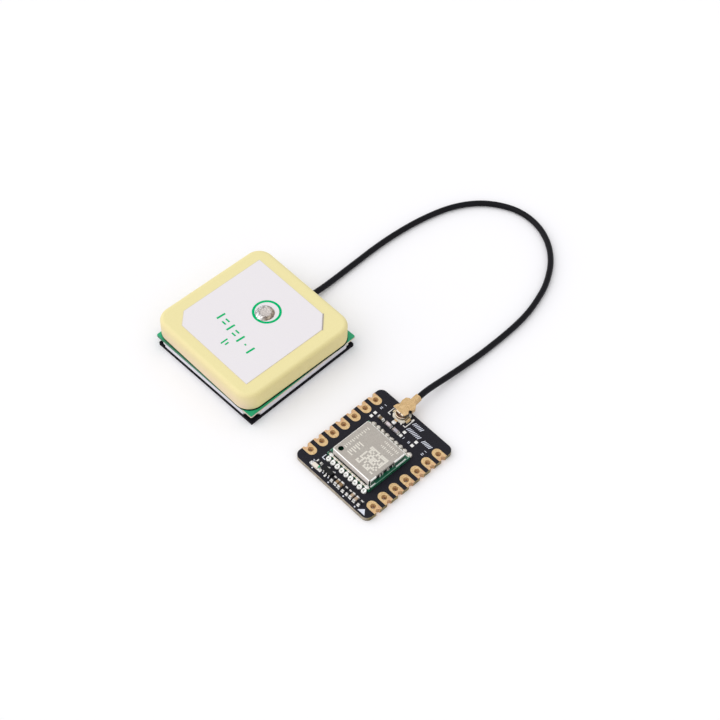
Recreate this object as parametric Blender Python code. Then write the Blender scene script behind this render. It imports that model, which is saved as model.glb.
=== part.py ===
"""Positioning board with edge pads, a shielded receiver and a ceramic patch antenna on a coaxial lead."""

import math

import bmesh
import bpy
from mathutils import Matrix, Vector

mm = 0.001

# Clearances
SEAT = 0.02 * mm  # between a piece and what it is soldered or glued to
SLIP = 0.06 * mm  # round a piece that is pushed into another

# Carrier board, centred on the origin with its underside at z = 0
PAD_ROW_SPACING = 15.24 * mm
PAD_INSET = 1.23 * mm  # from the middle of a pad's hole to the board's edge
BOARD_WIDTH = PAD_ROW_SPACING + 2 * PAD_INSET
BOARD_THICKNESS = 1.0 * mm
BOARD_CORNER = 1.2 * mm

# Plated edge pads
PADS_PER_SIDE = 7
PAD_PITCH = 2.54 * mm
PAD_WIDTH = 1.75 * mm
PAD_REACH = PAD_INSET + 1.17 * mm  # from the board's edge to the pad's round inner end
PAD_PLATING = 0.06 * mm
PAD_HOLE = 0.76 * mm
EDGE_NOTCH = 0.86 * mm

# Receiver module, and the strips of board before and behind it
MODULE_X = 0.12 * mm
MODULE_WIDTH = 10.1 * mm
MODULE_LENGTH = 9.7 * mm
MODULE_THICKNESS = 0.8 * mm
JOINTS_PER_SIDE = 9
JOINT_PITCH = 1.1 * mm
JOINT_WIDTH = 0.86 * mm
JOINT_REACH = 0.84 * mm
JOINT_HEIGHT = 0.72 * mm
JOINT_TOE = 0.16 * mm
JOINT_ROUND = 0.3 * mm
NEAR_STRIP = 3.06 * mm
FAR_STRIP = 6.06 * mm
MODULE_SPAN = MODULE_LENGTH + 2 * JOINT_REACH
BOARD_LENGTH = NEAR_STRIP + MODULE_SPAN + FAR_STRIP
MODULE_Y = (NEAR_STRIP - FAR_STRIP) / 2

# Module shield can
LID_X = MODULE_X + 0.08 * mm
LID_Y = MODULE_Y - 0.18 * mm
LID_WIDTH = 9.1 * mm
LID_LENGTH = 8.15 * mm
LID_HEIGHT = 1.58 * mm
LID_SHEET = 0.12 * mm
LID_BEND = 0.17 * mm
LID_SLIT = 0.08 * mm
LID_MARK_HOLE = 0.9 * mm
LID_MARK_X = -3.35 * mm  # from the lid's middle
LID_MARK_Y = -3.3 * mm
LID_WINDOW_LENGTH = 4.15 * mm
LID_WINDOW_Y = -0.42 * mm
LID_WINDOW_DROP = 0.42 * mm  # from the lid's top face

# Coaxial socket and the plug on it
SOCKET_X = -2.1 * mm
SOCKET_Y = BOARD_LENGTH / 2 - 1.65 * mm
SOCKET_BASE = 2.7 * mm
SOCKET_BASE_HEIGHT = 0.35 * mm
SOCKET_BASE_ROUND = 0.7 * mm
SOCKET_RING = 2.0 * mm
SOCKET_RING_WALL = 0.16 * mm
SOCKET_RING_TOP = 1.25 * mm  # above the board
SOCKET_TAB_SPAN = 4.1 * mm
SOCKET_TAB_LENGTH = 2.2 * mm
SOCKET_TAB_SHEET = 0.12 * mm
SOCKET_PIN = 0.5 * mm
SOCKET_PIN_TOP = 1.0 * mm
SOCKET_TAIL_REACH = 2.05 * mm
SOCKET_TAIL_WIDTH = 0.62 * mm

PLUG_TURN = math.radians(4.5)
PLUG_TOP = 1.9 * mm  # above the board
PLUG_SHEET = 0.17 * mm
PLUG_HALF_WIDTH = 1.5 * mm
PLUG_FRONT = 0.8 * mm
PLUG_WAIST_HALF_WIDTH = 1.16 * mm
PLUG_WAIST_START = 0.86 * mm
PLUG_WAIST_END = 1.08 * mm
PLUG_BARREL_HALF_WIDTH = 1.42 * mm
PLUG_SHOULDER = 1.95 * mm
PLUG_BARREL_END = 2.6 * mm
PLUG_BARREL_DEPTH = 1.25 * mm
PLUG_TAIL_END = 4.25 * mm
PLUG_TAIL_WALL = 0.15 * mm
PLUG_STRIP_HALF_WIDTH = 0.42 * mm
PLUG_CORNER = 0.22 * mm
PLUG_SKIRT_WALL = 0.14 * mm
PLUG_SKIRT_DEPTH = 1.05 * mm
PLUG_SKIRT_SLOT = 0.7 * mm
PLUG_DIMPLE = 0.3 * mm
PLUG_DIMPLE_SPACING = 1.15 * mm
PLUG_BUSH_HEIGHT = 0.5 * mm
CONTACT_WALL = 0.09 * mm
CONTACT_DEPTH = 0.85 * mm

# Coaxial cable
CABLE_DIAMETER = 1.13 * mm
CABLE_SIDE_RINGS = 2
CABLE_POINTS = 64
BRAID_DIAMETER = 0.8 * mm
BRAID_LENGTH = 1.2 * mm
CORE_DIAMETER = 0.34 * mm
CORE_LENGTH = 1.4 * mm

# Patch antenna: ceramic square, its board, shield and foam
ANTENNA_X = -31.62 * mm
ANTENNA_Y = 0.82 * mm
CERAMIC_SIDE = 25.0 * mm
CERAMIC_HEIGHT = 4.0 * mm
CERAMIC_CORNER = 2.95 * mm
CERAMIC_EDGE = 0.5 * mm
ELECTRODE_X = -31.67 * mm
ELECTRODE_Y = 0.67 * mm
ELECTRODE_SIDE_MARGIN = 2.8 * mm
ELECTRODE_END_MARGIN = 2.52 * mm
ELECTRODE_WIDTH = CERAMIC_SIDE - 2 * ELECTRODE_SIDE_MARGIN
ELECTRODE_LENGTH = CERAMIC_SIDE - 2 * ELECTRODE_END_MARGIN
ELECTRODE_TRIM_NEAR = 2.3 * mm
ELECTRODE_TRIM_FAR = 2.55 * mm
ELECTRODE_THICKNESS = 0.05 * mm
GROUND_INSET = 0.35 * mm
GROUND_THICKNESS = 0.04 * mm

BASE_X = -31.26 * mm
BASE_Y = 0.87 * mm
BASE_TURN = math.radians(1.65)
BASE_BOARD_WIDTH = CERAMIC_SIDE - 0.4 * mm
BASE_BOARD_LENGTH = CERAMIC_SIDE + 0.1 * mm
BASE_BOARD_THICKNESS = 0.52 * mm
BASE_BOARD_CORNER = 0.25 * mm
SHIELD_INSET = 0.2 * mm  # from the board's edge to the shield's wall
SHIELD_WIDTH = BASE_BOARD_WIDTH - 2 * SHIELD_INSET
SHIELD_LENGTH = BASE_BOARD_LENGTH - 2 * SHIELD_INSET
SHIELD_HEIGHT = 1.16 * mm
SHIELD_SHEET = 0.15 * mm
SHIELD_BEND = 0.3 * mm
SHIELD_SLIT = 1.9 * mm
SHIELD_NOTCH_WIDTH = 1.9 * mm
SHIELD_NOTCH_REACH = 4.6 * mm
SHIELD_NOTCH_X = -0.6 * mm
FOAM_WIDTH = BASE_BOARD_WIDTH - 1.0 * mm
FOAM_LENGTH = BASE_BOARD_LENGTH - 0.6 * mm
FOAM_THICKNESS = 0.82 * mm
FOAM_CORNER = 0.4 * mm
FOAM_SHIFT = 0.3 * mm  # stuck on a little to the right

FEED_X = 0.22 * mm  # from the ceramic's middle
FEED_Y = 2.35 * mm
FEED_SHAFT = 0.9 * mm
FEED_HEAD = 3.4 * mm
FEED_HEAD_HEIGHT = 0.5 * mm
FEED_TAIL = 0.55 * mm  # below the antenna's board

# Heights that follow from the stack
BOARD_TOP = BOARD_THICKNESS
MODULE_LOW = BOARD_TOP + SEAT
MODULE_TOP = MODULE_LOW + MODULE_THICKNESS
LID_LOW = MODULE_TOP + SEAT
LID_TOP = LID_LOW + LID_HEIGHT
PLUG_HIGH = BOARD_TOP + PLUG_TOP
CABLE_AT_PLUG = PLUG_HIGH - PLUG_SHEET / 2 - PLUG_TAIL_WALL - CABLE_DIAMETER / 2 + SLIP
SHIELD_LOW = FOAM_THICKNESS + SEAT
BASE_BOARD_LOW = SHIELD_LOW + SHIELD_HEIGHT + SEAT
BASE_BOARD_TOP = BASE_BOARD_LOW + BASE_BOARD_THICKNESS
GROUND_LOW = BASE_BOARD_TOP + SEAT
CERAMIC_LOW = GROUND_LOW + GROUND_THICKNESS + SEAT
CERAMIC_TOP = CERAMIC_LOW + CERAMIC_HEIGHT
ELECTRODE_LOW = CERAMIC_TOP + SEAT
ELECTRODE_TOP = ELECTRODE_LOW + ELECTRODE_THICKNESS
CABLE_AT_ANTENNA = BASE_BOARD_LOW - CABLE_DIAMETER / 2 - SEAT

# Where the cable lies, in millimetres, from the antenna's notch round to the board
CABLE_ROUTE = (
    (-32.13, 10.3, 1.43),
    (-32.17, 11.8, 1.43),
    (-32.22, 13.3, 1.4),
    (-32.28, 15.2, 1.2),
    (-32.4, 18.0, 0.86),
    (-32.6, 21.5, 0.66),
    (-32.88, 27.16, 0.59),
    (-33.07, 32.3, 0.59),
    (-32.96, 37.4, 0.59),
    (-32.48, 42.5, 0.59),
    (-31.5, 47.4, 0.59),
    (-30.44, 50.5, 0.59),
    (-28.93, 53.3, 0.59),
    (-26.97, 55.65, 0.59),
    (-24.5, 57.5, 0.59),
    (-21.65, 58.75, 0.59),
    (-18.45, 59.1, 0.59),
    (-15.03, 58.45, 0.59),
    (-11.7, 56.75, 0.59),
    (-8.8, 54.2, 0.59),
    (-6.5, 51.0, 0.59),
    (-4.8, 47.5, 0.59),
    (-3.25, 42.2, 0.59),
    (-2.6, 37.0, 0.59),
)
# The last stretch, from the socket's middle
CABLE_TO_PLUG = (
    (-0.32, 21.8, 0.59),
    (-0.4, 16.8, 0.74),
    (-0.52, 11.9, 1.13),
    (-0.56, 8.2, 1.65),
    (-0.46, 6.0, 2.04),
    (-0.33, 4.3, 2.16),
    (-0.23, 3.1, 2.16),
)

# Small parts in the near row, in millimetres: x, y from the board's near end, length, width, height,
# turn in degrees
NEAR_PARTS = {
    "led_resistor": (-4.65, 1.93, 1.05, 0.5, 0.36, 0, "resistor"),
    "pullup_resistor": (-0.62, 1.43, 1.1, 0.5, 0.36, 90, "resistor"),
    "input_capacitor": (0.28, 1.4, 1.15, 0.52, 0.52, 90, "capacitor"),
    "output_capacitor": (1.12, 1.39, 1.2, 0.6, 0.6, 90, "capacitor"),
    "serial_resistor_1": (2.12, 1.39, 1.15, 0.52, 0.36, 90, "resistor"),
    "serial_resistor_2": (3.05, 1.43, 1.1, 0.5, 0.36, 90, "resistor"),
    "bypass_capacitor_1": (3.88, 1.43, 1.15, 0.54, 0.52, 90, "capacitor"),
    "bypass_capacitor_2": (4.8, 1.41, 1.15, 0.54, 0.52, 90, "capacitor"),
    "reset_resistor": (5.82, 1.45, 1.1, 0.5, 0.36, 90, "resistor"),
}
# And by the socket, their y from the socket's middle
FAR_PARTS = {
    "bias_capacitor": (-4.15, -3.04, 1.3, 0.62, 0.5, 0, "capacitor"),
    "matching_capacitor": (-2.35, -3.02, 1.3, 0.66, 0.5, 0, "capacitor"),
    "bias_inductor": (-0.58, -3.02, 1.3, 0.68, 0.5, 0, "ferrite"),
}
CHIP_TERMINAL = 0.26 * mm
CHIP_CAP_PROUD = 0.025 * mm

LED_X = -4.6 * mm
LED_Y = 0.93 * mm - BOARD_LENGTH / 2
LED_LENGTH = 1.7 * mm
LED_WIDTH = 0.82 * mm
LED_BASE_HEIGHT = 0.3 * mm
LED_HEIGHT = 0.62 * mm
LED_TERMINAL = 0.3 * mm
LED_DRAFT = 0.1 * mm

REGULATOR_X = -2.1 * mm
REGULATOR_Y = 1.59 * mm - BOARD_LENGTH / 2
REGULATOR_LENGTH = 2.0 * mm
REGULATOR_WIDTH = 1.2 * mm
REGULATOR_HEIGHT = 0.85 * mm
REGULATOR_STANDOFF = 0.06 * mm
REGULATOR_LEAD_PITCH = 0.65 * mm
REGULATOR_LEAD_WIDTH = 0.24 * mm
REGULATOR_LEAD_SHEET = 0.12 * mm
REGULATOR_LEAD_REACH = 0.42 * mm
REGULATOR_DRAFT = 0.06 * mm

# Pieces under the two shields: middle x and y from the shield's middle, length, width, height
MODULE_INNER = {
    "receiver_chip": (-1.0, 0.1, 4.9, 4.9, 0.8, "package"),
    "reference_oscillator": (2.75, 2.4, 2.0, 1.6, 0.75, "can_lid"),
    "input_filter": (-2.9, 3.25, 1.4, 1.0, 0.5, "can_lid"),
    "clock_crystal": (0.4, -3.1, 1.6, 1.0, 0.5, "can_lid"),
    "module_capacitor": (3.75, -0.2, 0.6, 1.0, 0.5, "ferrite"),
    "module_inductor": (3.75, -2.1, 0.6, 1.1, 0.55, "ferrite"),
}
BASE_INNER = {
    "amplifier_chip": (-2.2, 4.4, 1.6, 1.6, 0.6, "package"),
    "antenna_filter": (-4.6, 2.0, 1.4, 1.1, 0.5, "can_lid"),
    "amplifier_capacitor": (1.9, 5.2, 0.5, 1.0, 0.5, "capacitor"),
}
INNER_EDGE = 0.06 * mm

# Colours as seen under daylight, roughness and metallic value
LOOKS = {
    "board_mask": ((35, 35, 44), 0.45, 0.0),
    "pad_gold": ((226, 190, 128), 0.3, 1.0),
    "module_mask": ((0, 104, 66), 0.4, 0.0),
    "shield_metal": ((186, 180, 170), 0.34, 1.0),
    "package": ((28, 28, 30), 0.5, 0.0),
    "can_lid": ((200, 196, 186), 0.3, 1.0),
    "resistor": ((30, 30, 34), 0.4, 0.0),
    "capacitor": ((188, 160, 128), 0.45, 0.0),
    "ferrite": ((118, 116, 114), 0.5, 0.0),
    "led": ((236, 232, 212), 0.35, 0.0),
    "socket_plastic": ((238, 230, 208), 0.45, 0.0),
    "contact_gold": ((222, 182, 112), 0.3, 1.0),
    "socket_shell": ((226, 218, 198), 0.25, 1.0),
    "plug_plastic": ((240, 236, 224), 0.4, 0.0),
    "cable_jacket": ((20, 20, 27), 0.5, 0.0),
    "tinned_braid": ((196, 196, 194), 0.35, 1.0),
    "ceramic": ((239, 228, 168), 0.6, 0.0),
    "silver_print": ((235, 231, 234), 0.5, 0.0),
    "solder": ((214, 210, 204), 0.22, 1.0),
    "antenna_mask": ((0, 152, 104), 0.4, 0.0),
    "foam": ((18, 18, 22), 0.9, 0.0),
}


def clear_scene():
    for item in list(bpy.data.objects):
        bpy.data.objects.remove(item)


def linear(channel):
    value = channel / 255
    return value / 12.92 if value <= 0.04045 else ((value + 0.055) / 1.055) ** 2.4


def look(name):
    if name in bpy.data.materials:
        return bpy.data.materials[name]
    colour, roughness, metallic = LOOKS[name]
    made = bpy.data.materials.new(name)
    made.use_nodes = True
    shader = made.node_tree.nodes["Principled BSDF"]
    shader.inputs["Base Color"].default_value = (*map(linear, colour), 1.0)
    shader.inputs["Roughness"].default_value = roughness
    shader.inputs["Metallic"].default_value = metallic
    return made


# Outlines, drawn anticlockwise
def arc(x, y, radius, start, end, steps):
    """Points on an arc between two angles in degrees, both ends included."""
    angles = [math.radians(start + (end - start) * i / steps) for i in range(steps + 1)]
    return [(x + radius * math.cos(a), y + radius * math.sin(a)) for a in angles]


def circle(x, y, radius, steps):
    return arc(x, y, radius, 0, 360, steps)[:-1]


def rectangle(low_x, low_y, high_x, high_y):
    return [(low_x, low_y), (high_x, low_y), (high_x, high_y), (low_x, high_y)]


def rounded_rectangle(width, length, radius, steps):
    x = width / 2 - radius
    y = length / 2 - radius
    points = []
    for corner_x, corner_y, start in ((x, -y, 270), (x, y, 0), (-x, y, 90), (-x, -y, 180)):
        points += arc(corner_x, corner_y, radius, start, start + 90, steps)
    return points


def plus_outline(width, length, notch):
    """A rectangle with a square notch out of each corner."""
    x, y = width / 2, length / 2
    return [
        (x - notch, -y), (x - notch, -y + notch), (x, -y + notch), (x, y - notch),
        (x - notch, y - notch), (x - notch, y), (notch - x, y), (notch - x, y - notch),
        (-x, y - notch), (-x, notch - y), (notch - x, notch - y), (notch - x, -y),
    ]


# Solids
def prism(bm, outline, low, high):
    """Adds the outline as a solid between two heights."""
    base = bm.faces.new([bm.verts.new((x, y, low)) for x, y in outline])
    raised = bmesh.ops.extrude_face_region(bm, geom=[base])["geom"]
    bmesh.ops.translate(
        bm,
        verts=[part for part in raised if isinstance(part, bmesh.types.BMVert)],
        vec=(0, 0, high - low),
    )
    return [part for part in raised if isinstance(part, bmesh.types.BMFace)]


def bar(bm, profile, start, end):
    """Adds a profile of (along y, up z) points as a solid that runs along x."""
    base = bm.faces.new([bm.verts.new((start, y, z)) for y, z in profile])
    raised = bmesh.ops.extrude_face_region(bm, geom=[base])["geom"]
    bmesh.ops.translate(
        bm,
        verts=[part for part in raised if isinstance(part, bmesh.types.BMVert)],
        vec=(end - start, 0, 0),
    )


def tube(bm, radius, height, start, end, steps=16):
    """Adds a round bar that runs along y at a height."""
    base = bm.faces.new([bm.verts.new((x, start, z)) for x, z in circle(0, height, radius, steps)])
    raised = bmesh.ops.extrude_face_region(bm, geom=[base])["geom"]
    bmesh.ops.translate(
        bm,
        verts=[part for part in raised if isinstance(part, bmesh.types.BMVert)],
        vec=(0, end - start, 0),
    )


def turned(bm, profile, steps, x=0.0, y=0.0):
    """Spins a closed profile of (radius, height) points about an upright axis."""
    corners = [bm.verts.new((x + radius, y, height)) for radius, height in profile]
    edges = [bm.edges.new(pair) for pair in zip(corners, corners[1:] + corners[:1])]
    bmesh.ops.spin(
        bm,
        geom=corners + edges,
        cent=(x, y, 0),
        axis=(0, 0, 1),
        angle=math.tau,
        steps=steps,
        use_merge=True,
    )
    bmesh.ops.remove_doubles(bm, verts=bm.verts, dist=0.001 * mm)
    flat = [edge for edge in bm.edges if not edge.link_faces]
    bmesh.ops.delete(bm, geom=flat, context="EDGES")


def top_edges(bm, height):
    """Edges that lie wholly at one height."""
    return [
        edge
        for edge in bm.edges
        if all(abs(corner.co.z - height) < 0.001 * mm for corner in edge.verts)
    ]


def soften(bm, edges, width, segments=2):
    bmesh.ops.bevel(
        bm,
        geom=edges,
        offset=width,
        offset_type="OFFSET",
        affect="EDGES",
        segments=segments,
        profile=0.5,
        material=-1,
    )


def mesh_of(name, bm):
    bmesh.ops.recalc_face_normals(bm, faces=bm.faces)
    mesh = bpy.data.meshes.new(name)
    bm.to_mesh(mesh)
    bm.free()
    return mesh


def place(name, mesh, finish, x=0.0, y=0.0, z=0.0, turn=0.0, parent=None, crease=32):
    piece = bpy.data.objects.new(name, mesh)
    piece.location = (x, y, z)
    piece.rotation_euler = (0, 0, turn)
    piece.parent = parent
    if not mesh.materials:
        mesh.materials.append(look(finish))
    mesh.shade_smooth()
    mesh.set_sharp_from_angle(angle=math.radians(crease))
    bpy.context.scene.collection.objects.link(piece)
    return piece


def cutter(name, bm, parent=None):
    tool = bpy.data.objects.new(name, mesh_of(name, bm))
    tool.parent = parent
    tool.hide_render = True
    tool.display_type = "WIRE"
    bpy.context.scene.collection.objects.link(tool)
    return tool


def combine(piece, tool, operation):
    step = piece.modifiers.new(tool.name, "BOOLEAN")
    step.operation = operation
    step.solver = "EXACT"
    step.object = tool


def frame_at(name, x, y, turn):
    holder = bpy.data.objects.new(name, None)
    holder.location = (x, y, 0)
    holder.rotation_euler = (0, 0, turn)
    bpy.context.scene.collection.objects.link(holder)
    return holder


def settled_mesh(piece):
    """The piece's mesh with its modifiers applied, so that copies can share it."""
    bpy.context.view_layer.update()
    graph = bpy.context.evaluated_depsgraph_get()
    return bpy.data.meshes.new_from_object(piece.evaluated_get(graph))


# Edge pads: plate, plated hole, plated half hole in the edge and plate below, all one piece
def pad_places():
    """Middle x, middle y and turn of each pad, anticlockwise from the right row's near end."""
    half_row = (PADS_PER_SIDE - 1) / 2
    for side, turn in ((1, 0.0), (-1, math.pi)):
        for index in range(PADS_PER_SIDE):
            yield side * BOARD_WIDTH / 2, side * (index - half_row) * PAD_PITCH, turn


def pad_outline(grow, notch_steps=6, end_steps=8):
    """A pad seen from above, its outer edge at x = 0, with the half hole cut from that edge."""
    half = PAD_WIDTH / 2 + grow
    notch = EDGE_NOTCH / 2
    middle = PAD_WIDTH / 2 - PAD_REACH
    return (
        [(0, notch), (0, half)]
        + arc(middle, 0, half, 90, 270, end_steps)
        + [(0, -half)]
        + arc(0, 0, notch, 270, 90, notch_steps)[:-1]
    )


def pocket_outline(grow, end_steps=8):
    half = PAD_WIDTH / 2 + grow
    past_edge = 1.0 * mm
    middle = PAD_WIDTH / 2 - PAD_REACH
    return [(past_edge, -half), (past_edge, half)] + arc(middle, 0, half, 90, 270, end_steps)


def edge_pad_mesh():
    bm = bmesh.new()
    prism(bm, pad_outline(0), BOARD_TOP - PAD_PLATING, BOARD_TOP)
    pad = place("pad_pattern", mesh_of("pad_pattern", bm), "pad_gold")
    overlap = PAD_PLATING / 2

    bm = bmesh.new()
    prism(bm, pad_outline(0), 0, PAD_PLATING)
    combine(pad, cutter("pad_underside", bm), "UNION")

    bm = bmesh.new()
    sleeve = PAD_HOLE / 2 + PAD_PLATING
    prism(bm, circle(-PAD_INSET, 0, sleeve, 12), overlap, BOARD_TOP - overlap)
    combine(pad, cutter("pad_sleeve", bm), "UNION")

    bm = bmesh.new()
    wall = arc(0, 0, EDGE_NOTCH / 2 + PAD_PLATING, 90, 270, 6)
    wall += arc(0, 0, EDGE_NOTCH / 2, 270, 90, 6)
    prism(bm, wall, overlap, BOARD_TOP - overlap)
    combine(pad, cutter("pad_edge_wall", bm), "UNION")

    bm = bmesh.new()
    prism(bm, circle(-PAD_INSET, 0, PAD_HOLE / 2, 12), -1 * mm, BOARD_TOP + 1 * mm)
    combine(pad, cutter("pad_bore", bm), "DIFFERENCE")

    mesh = settled_mesh(pad)
    for item in [pad] + [step.object for step in pad.modifiers]:
        bpy.data.objects.remove(item)
    mesh.name = "edge_pad"
    return mesh


def carrier_board():
    bm = bmesh.new()
    prism(bm, rounded_rectangle(BOARD_WIDTH, BOARD_LENGTH, BOARD_CORNER, 5), 0, BOARD_TOP)
    board = place("carrier_board", mesh_of("carrier_board", bm), "board_mask")

    drill = bmesh.new()
    pockets = bmesh.new()
    gap = PAD_PLATING + SEAT
    for x, y, turn in pad_places():
        spot = Matrix.Translation((x, y, 0)) @ Matrix.Rotation(turn, 4, "Z")
        for bm, outline, spans in (
            (drill, circle(-PAD_INSET, 0, PAD_HOLE / 2 + gap, 12), ((-1 * mm, BOARD_TOP + 1 * mm),)),
            (drill, circle(0, 0, EDGE_NOTCH / 2 + gap, 12), ((-1 * mm, BOARD_TOP + 1 * mm),)),
            (pockets, pocket_outline(SEAT), ((-1 * mm, gap), (BOARD_TOP - gap, BOARD_TOP + 1 * mm))),
        ):
            for low, high in spans:
                known = set(bm.verts)
                prism(bm, outline, low, high)
                fresh = [corner for corner in bm.verts if corner not in known]
                bmesh.ops.transform(bm, matrix=spot, verts=fresh)
    combine(board, cutter("pad_pockets", pockets), "DIFFERENCE")
    combine(board, cutter("pad_drill", drill), "DIFFERENCE")


def edge_pads():
    mesh = edge_pad_mesh()
    for number, (x, y, turn) in enumerate(pad_places(), 1):
        place(f"edge_pad_{number:02}", mesh, "pad_gold", x, y, turn=turn)


# Receiver module
def module_board():
    """The module's board with the solder joints along its two plated edges."""
    bm = bmesh.new()
    low_y = MODULE_Y - MODULE_LENGTH / 2
    high_y = MODULE_Y + MODULE_LENGTH / 2
    half = MODULE_WIDTH / 2
    prism(bm, rectangle(MODULE_X - half, low_y, MODULE_X + half, high_y), MODULE_LOW, MODULE_TOP)
    board = place("module_board", mesh_of("module_board", bm), "module_mask")

    joints = bmesh.new()
    sink = 0.2 * mm
    for edge, outward in ((low_y, -1), (high_y, 1)):
        for index in range(JOINTS_PER_SIDE):
            x = MODULE_X + (index - (JOINTS_PER_SIDE - 1) / 2) * JOINT_PITCH
            known = set(joints.verts)
            profile = [
                (edge - outward * sink, MODULE_LOW),
                (edge + outward * JOINT_REACH, MODULE_LOW),
                (edge + outward * JOINT_REACH, MODULE_LOW + JOINT_TOE),
                (edge + outward * JOINT_REACH * 0.45, MODULE_LOW + JOINT_HEIGHT * 0.5),
                (edge + outward * JOINT_REACH * 0.12, MODULE_LOW + JOINT_HEIGHT),
                (edge - outward * sink, MODULE_LOW + JOINT_HEIGHT),
            ]
            bar(joints, profile, x - JOINT_WIDTH / 2, x + JOINT_WIDTH / 2)
            toe = edge + outward * JOINT_REACH
            upright = [
                line
                for line in joints.edges
                if not known.intersection(line.verts)
                and all(abs(corner.co.y - toe) < 0.001 * mm for corner in line.verts)
                and abs(line.verts[0].co.z - line.verts[1].co.z) > 0.01 * mm
            ]
            soften(joints, upright, JOINT_ROUND, 3)
    combine(board, cutter("solder_joints", joints), "UNION")


def folded_can(name, finish, width, length, height, sheet, bend, slit, faces_down, **spot):
    """A shield folded from one flat sheet, its corners slit so that the four walls can turn."""
    bm = bmesh.new()
    outline = plus_outline(width - 2 * bend, length - 2 * bend, slit)
    plate = bm.faces.new([bm.verts.new((x, y, 0)) for x, y in outline])
    sides = [
        edge
        for edge in plate.edges
        if edge.calc_length() > slit * 1.01
    ]
    for edge in sides:
        middle = (edge.verts[0].co + edge.verts[1].co) / 2
        across = Vector((0, math.copysign(1, middle.y), 0))
        if abs(edge.verts[0].co.x - edge.verts[1].co.x) < 0.001 * mm:
            across = Vector((math.copysign(1, middle.x), 0, 0))
        rows = [edge]
        # the bend, then the straight wall
        for step in range(1, 4):
            turn = math.radians(90 * step / 3)
            last = math.radians(90 * (step - 1) / 3)
            move = across * bend * (math.sin(turn) - math.sin(last))
            move += Vector((0, 0, bend * (math.cos(last) - math.cos(turn))))
            rows.append(extruded_edge(bm, rows[-1], move))
        extruded_edge(bm, rows[-1], Vector((0, 0, height - bend)))
    if faces_down:
        bmesh.ops.rotate(bm, verts=bm.verts, cent=(0, 0, 0), matrix=Matrix.Rotation(math.pi, 3, "X"))
    bmesh.ops.recalc_face_normals(bm, faces=bm.faces)
    if plate.normal.z < 0 if faces_down else plate.normal.z > 0:
        bmesh.ops.reverse_faces(bm, faces=bm.faces)
    mesh = bpy.data.meshes.new(name)
    bm.to_mesh(mesh)
    bm.free()
    can = place(name, mesh, finish, crease=20, **spot)
    wall = can.modifiers.new("sheet", "SOLIDIFY")
    wall.thickness = sheet
    wall.offset = -1
    wall.use_even_offset = True
    return can


def extruded_edge(bm, edge, move):
    raised = bmesh.ops.extrude_edge_only(bm, edges=[edge])["geom"]
    corners = [part for part in raised if isinstance(part, bmesh.types.BMVert)]
    bmesh.ops.translate(bm, verts=corners, vec=move)
    return next(part for part in raised if isinstance(part, bmesh.types.BMEdge))


def module_shield():
    can = folded_can(
        "module_shield", "shield_metal", LID_WIDTH, LID_LENGTH, LID_HEIGHT, LID_SHEET,
        LID_BEND, LID_SLIT, True, x=LID_X, y=LID_Y, z=LID_TOP,
    )
    bm = bmesh.new()
    mark_x = LID_X + LID_MARK_X
    mark_y = LID_Y + LID_MARK_Y
    past = 1 * mm
    prism(bm, circle(mark_x, mark_y, LID_MARK_HOLE / 2, 16), LID_TOP - past, LID_TOP + past)
    right = LID_X + LID_WIDTH / 2
    middle = LID_Y + LID_WINDOW_Y
    reach = LID_BEND + LID_SHEET
    window = rectangle(
        right - reach, middle - LID_WINDOW_LENGTH / 2, right + past, middle + LID_WINDOW_LENGTH / 2
    )
    prism(bm, window, LID_LOW - past, LID_TOP - LID_WINDOW_DROP)
    combine(can, cutter("lid_openings", bm), "DIFFERENCE")


def inner_part(name, spot, holder_x, holder_y, low, hangs=False, parent=None):
    x, y, length, width, height, finish = spot
    bm = bmesh.new()
    half_length = length * mm / 2
    half_width = width * mm / 2
    bottom = low - height * mm if hangs else low
    prism(bm, rectangle(-half_length, -half_width, half_length, half_width), bottom, bottom + height * mm)
    free_face = bottom if hangs else bottom + height * mm
    soften(bm, top_edges(bm, free_face), INNER_EDGE, 1)
    place(name, mesh_of(name, bm), finish, holder_x + x * mm, holder_y + y * mm, parent=parent)


# Small parts on the carrier board
def chip_part(name, spot, start_y):
    """A ceramic chip whose metal end caps stand a little proud of its body."""
    x, y, length, width, height, turn, finish = spot
    bm = bmesh.new()
    half = length * mm / 2
    cap = half - CHIP_TERMINAL
    low = BOARD_TOP + SEAT
    top = low + height * mm
    proud = CHIP_CAP_PROUD
    profile = [
        (-half, low), (-cap, low), (-cap, low + proud), (cap, low + proud), (cap, low), (half, low),
        (half, top), (cap, top), (cap, top - proud), (-cap, top - proud), (-cap, top), (-half, top),
    ]
    bar(bm, profile, -width * mm / 2, width * mm / 2)
    quarter = math.pi / 2
    mesh = mesh_of(name, bm)
    place(name, mesh, finish, x * mm, start_y + y * mm, turn=math.radians(turn) - quarter)


def indicator_led():
    bm = bmesh.new()
    low = BOARD_TOP + SEAT
    half_width = LED_WIDTH / 2
    base = rectangle(-LED_LENGTH / 2, -half_width, LED_LENGTH / 2, half_width)
    prism(bm, base, low, low + LED_BASE_HEIGHT)
    led = place("indicator_led", mesh_of("indicator_led", bm), "led", LED_X, LED_Y)
    bm = bmesh.new()
    lens = LED_LENGTH / 2 - LED_TERMINAL
    sink = LED_BASE_HEIGHT / 2
    top = prism(bm, rectangle(-lens, -half_width, lens, half_width), low + sink, low + LED_HEIGHT)
    for face in top:
        for corner in face.verts:
            corner.co.x -= math.copysign(LED_DRAFT, corner.co.x)
            corner.co.y -= math.copysign(LED_DRAFT, corner.co.y) / 2
    bmesh.ops.translate(bm, verts=bm.verts, vec=(LED_X, LED_Y, 0))
    combine(led, cutter("led_lens", bm), "UNION")


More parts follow.
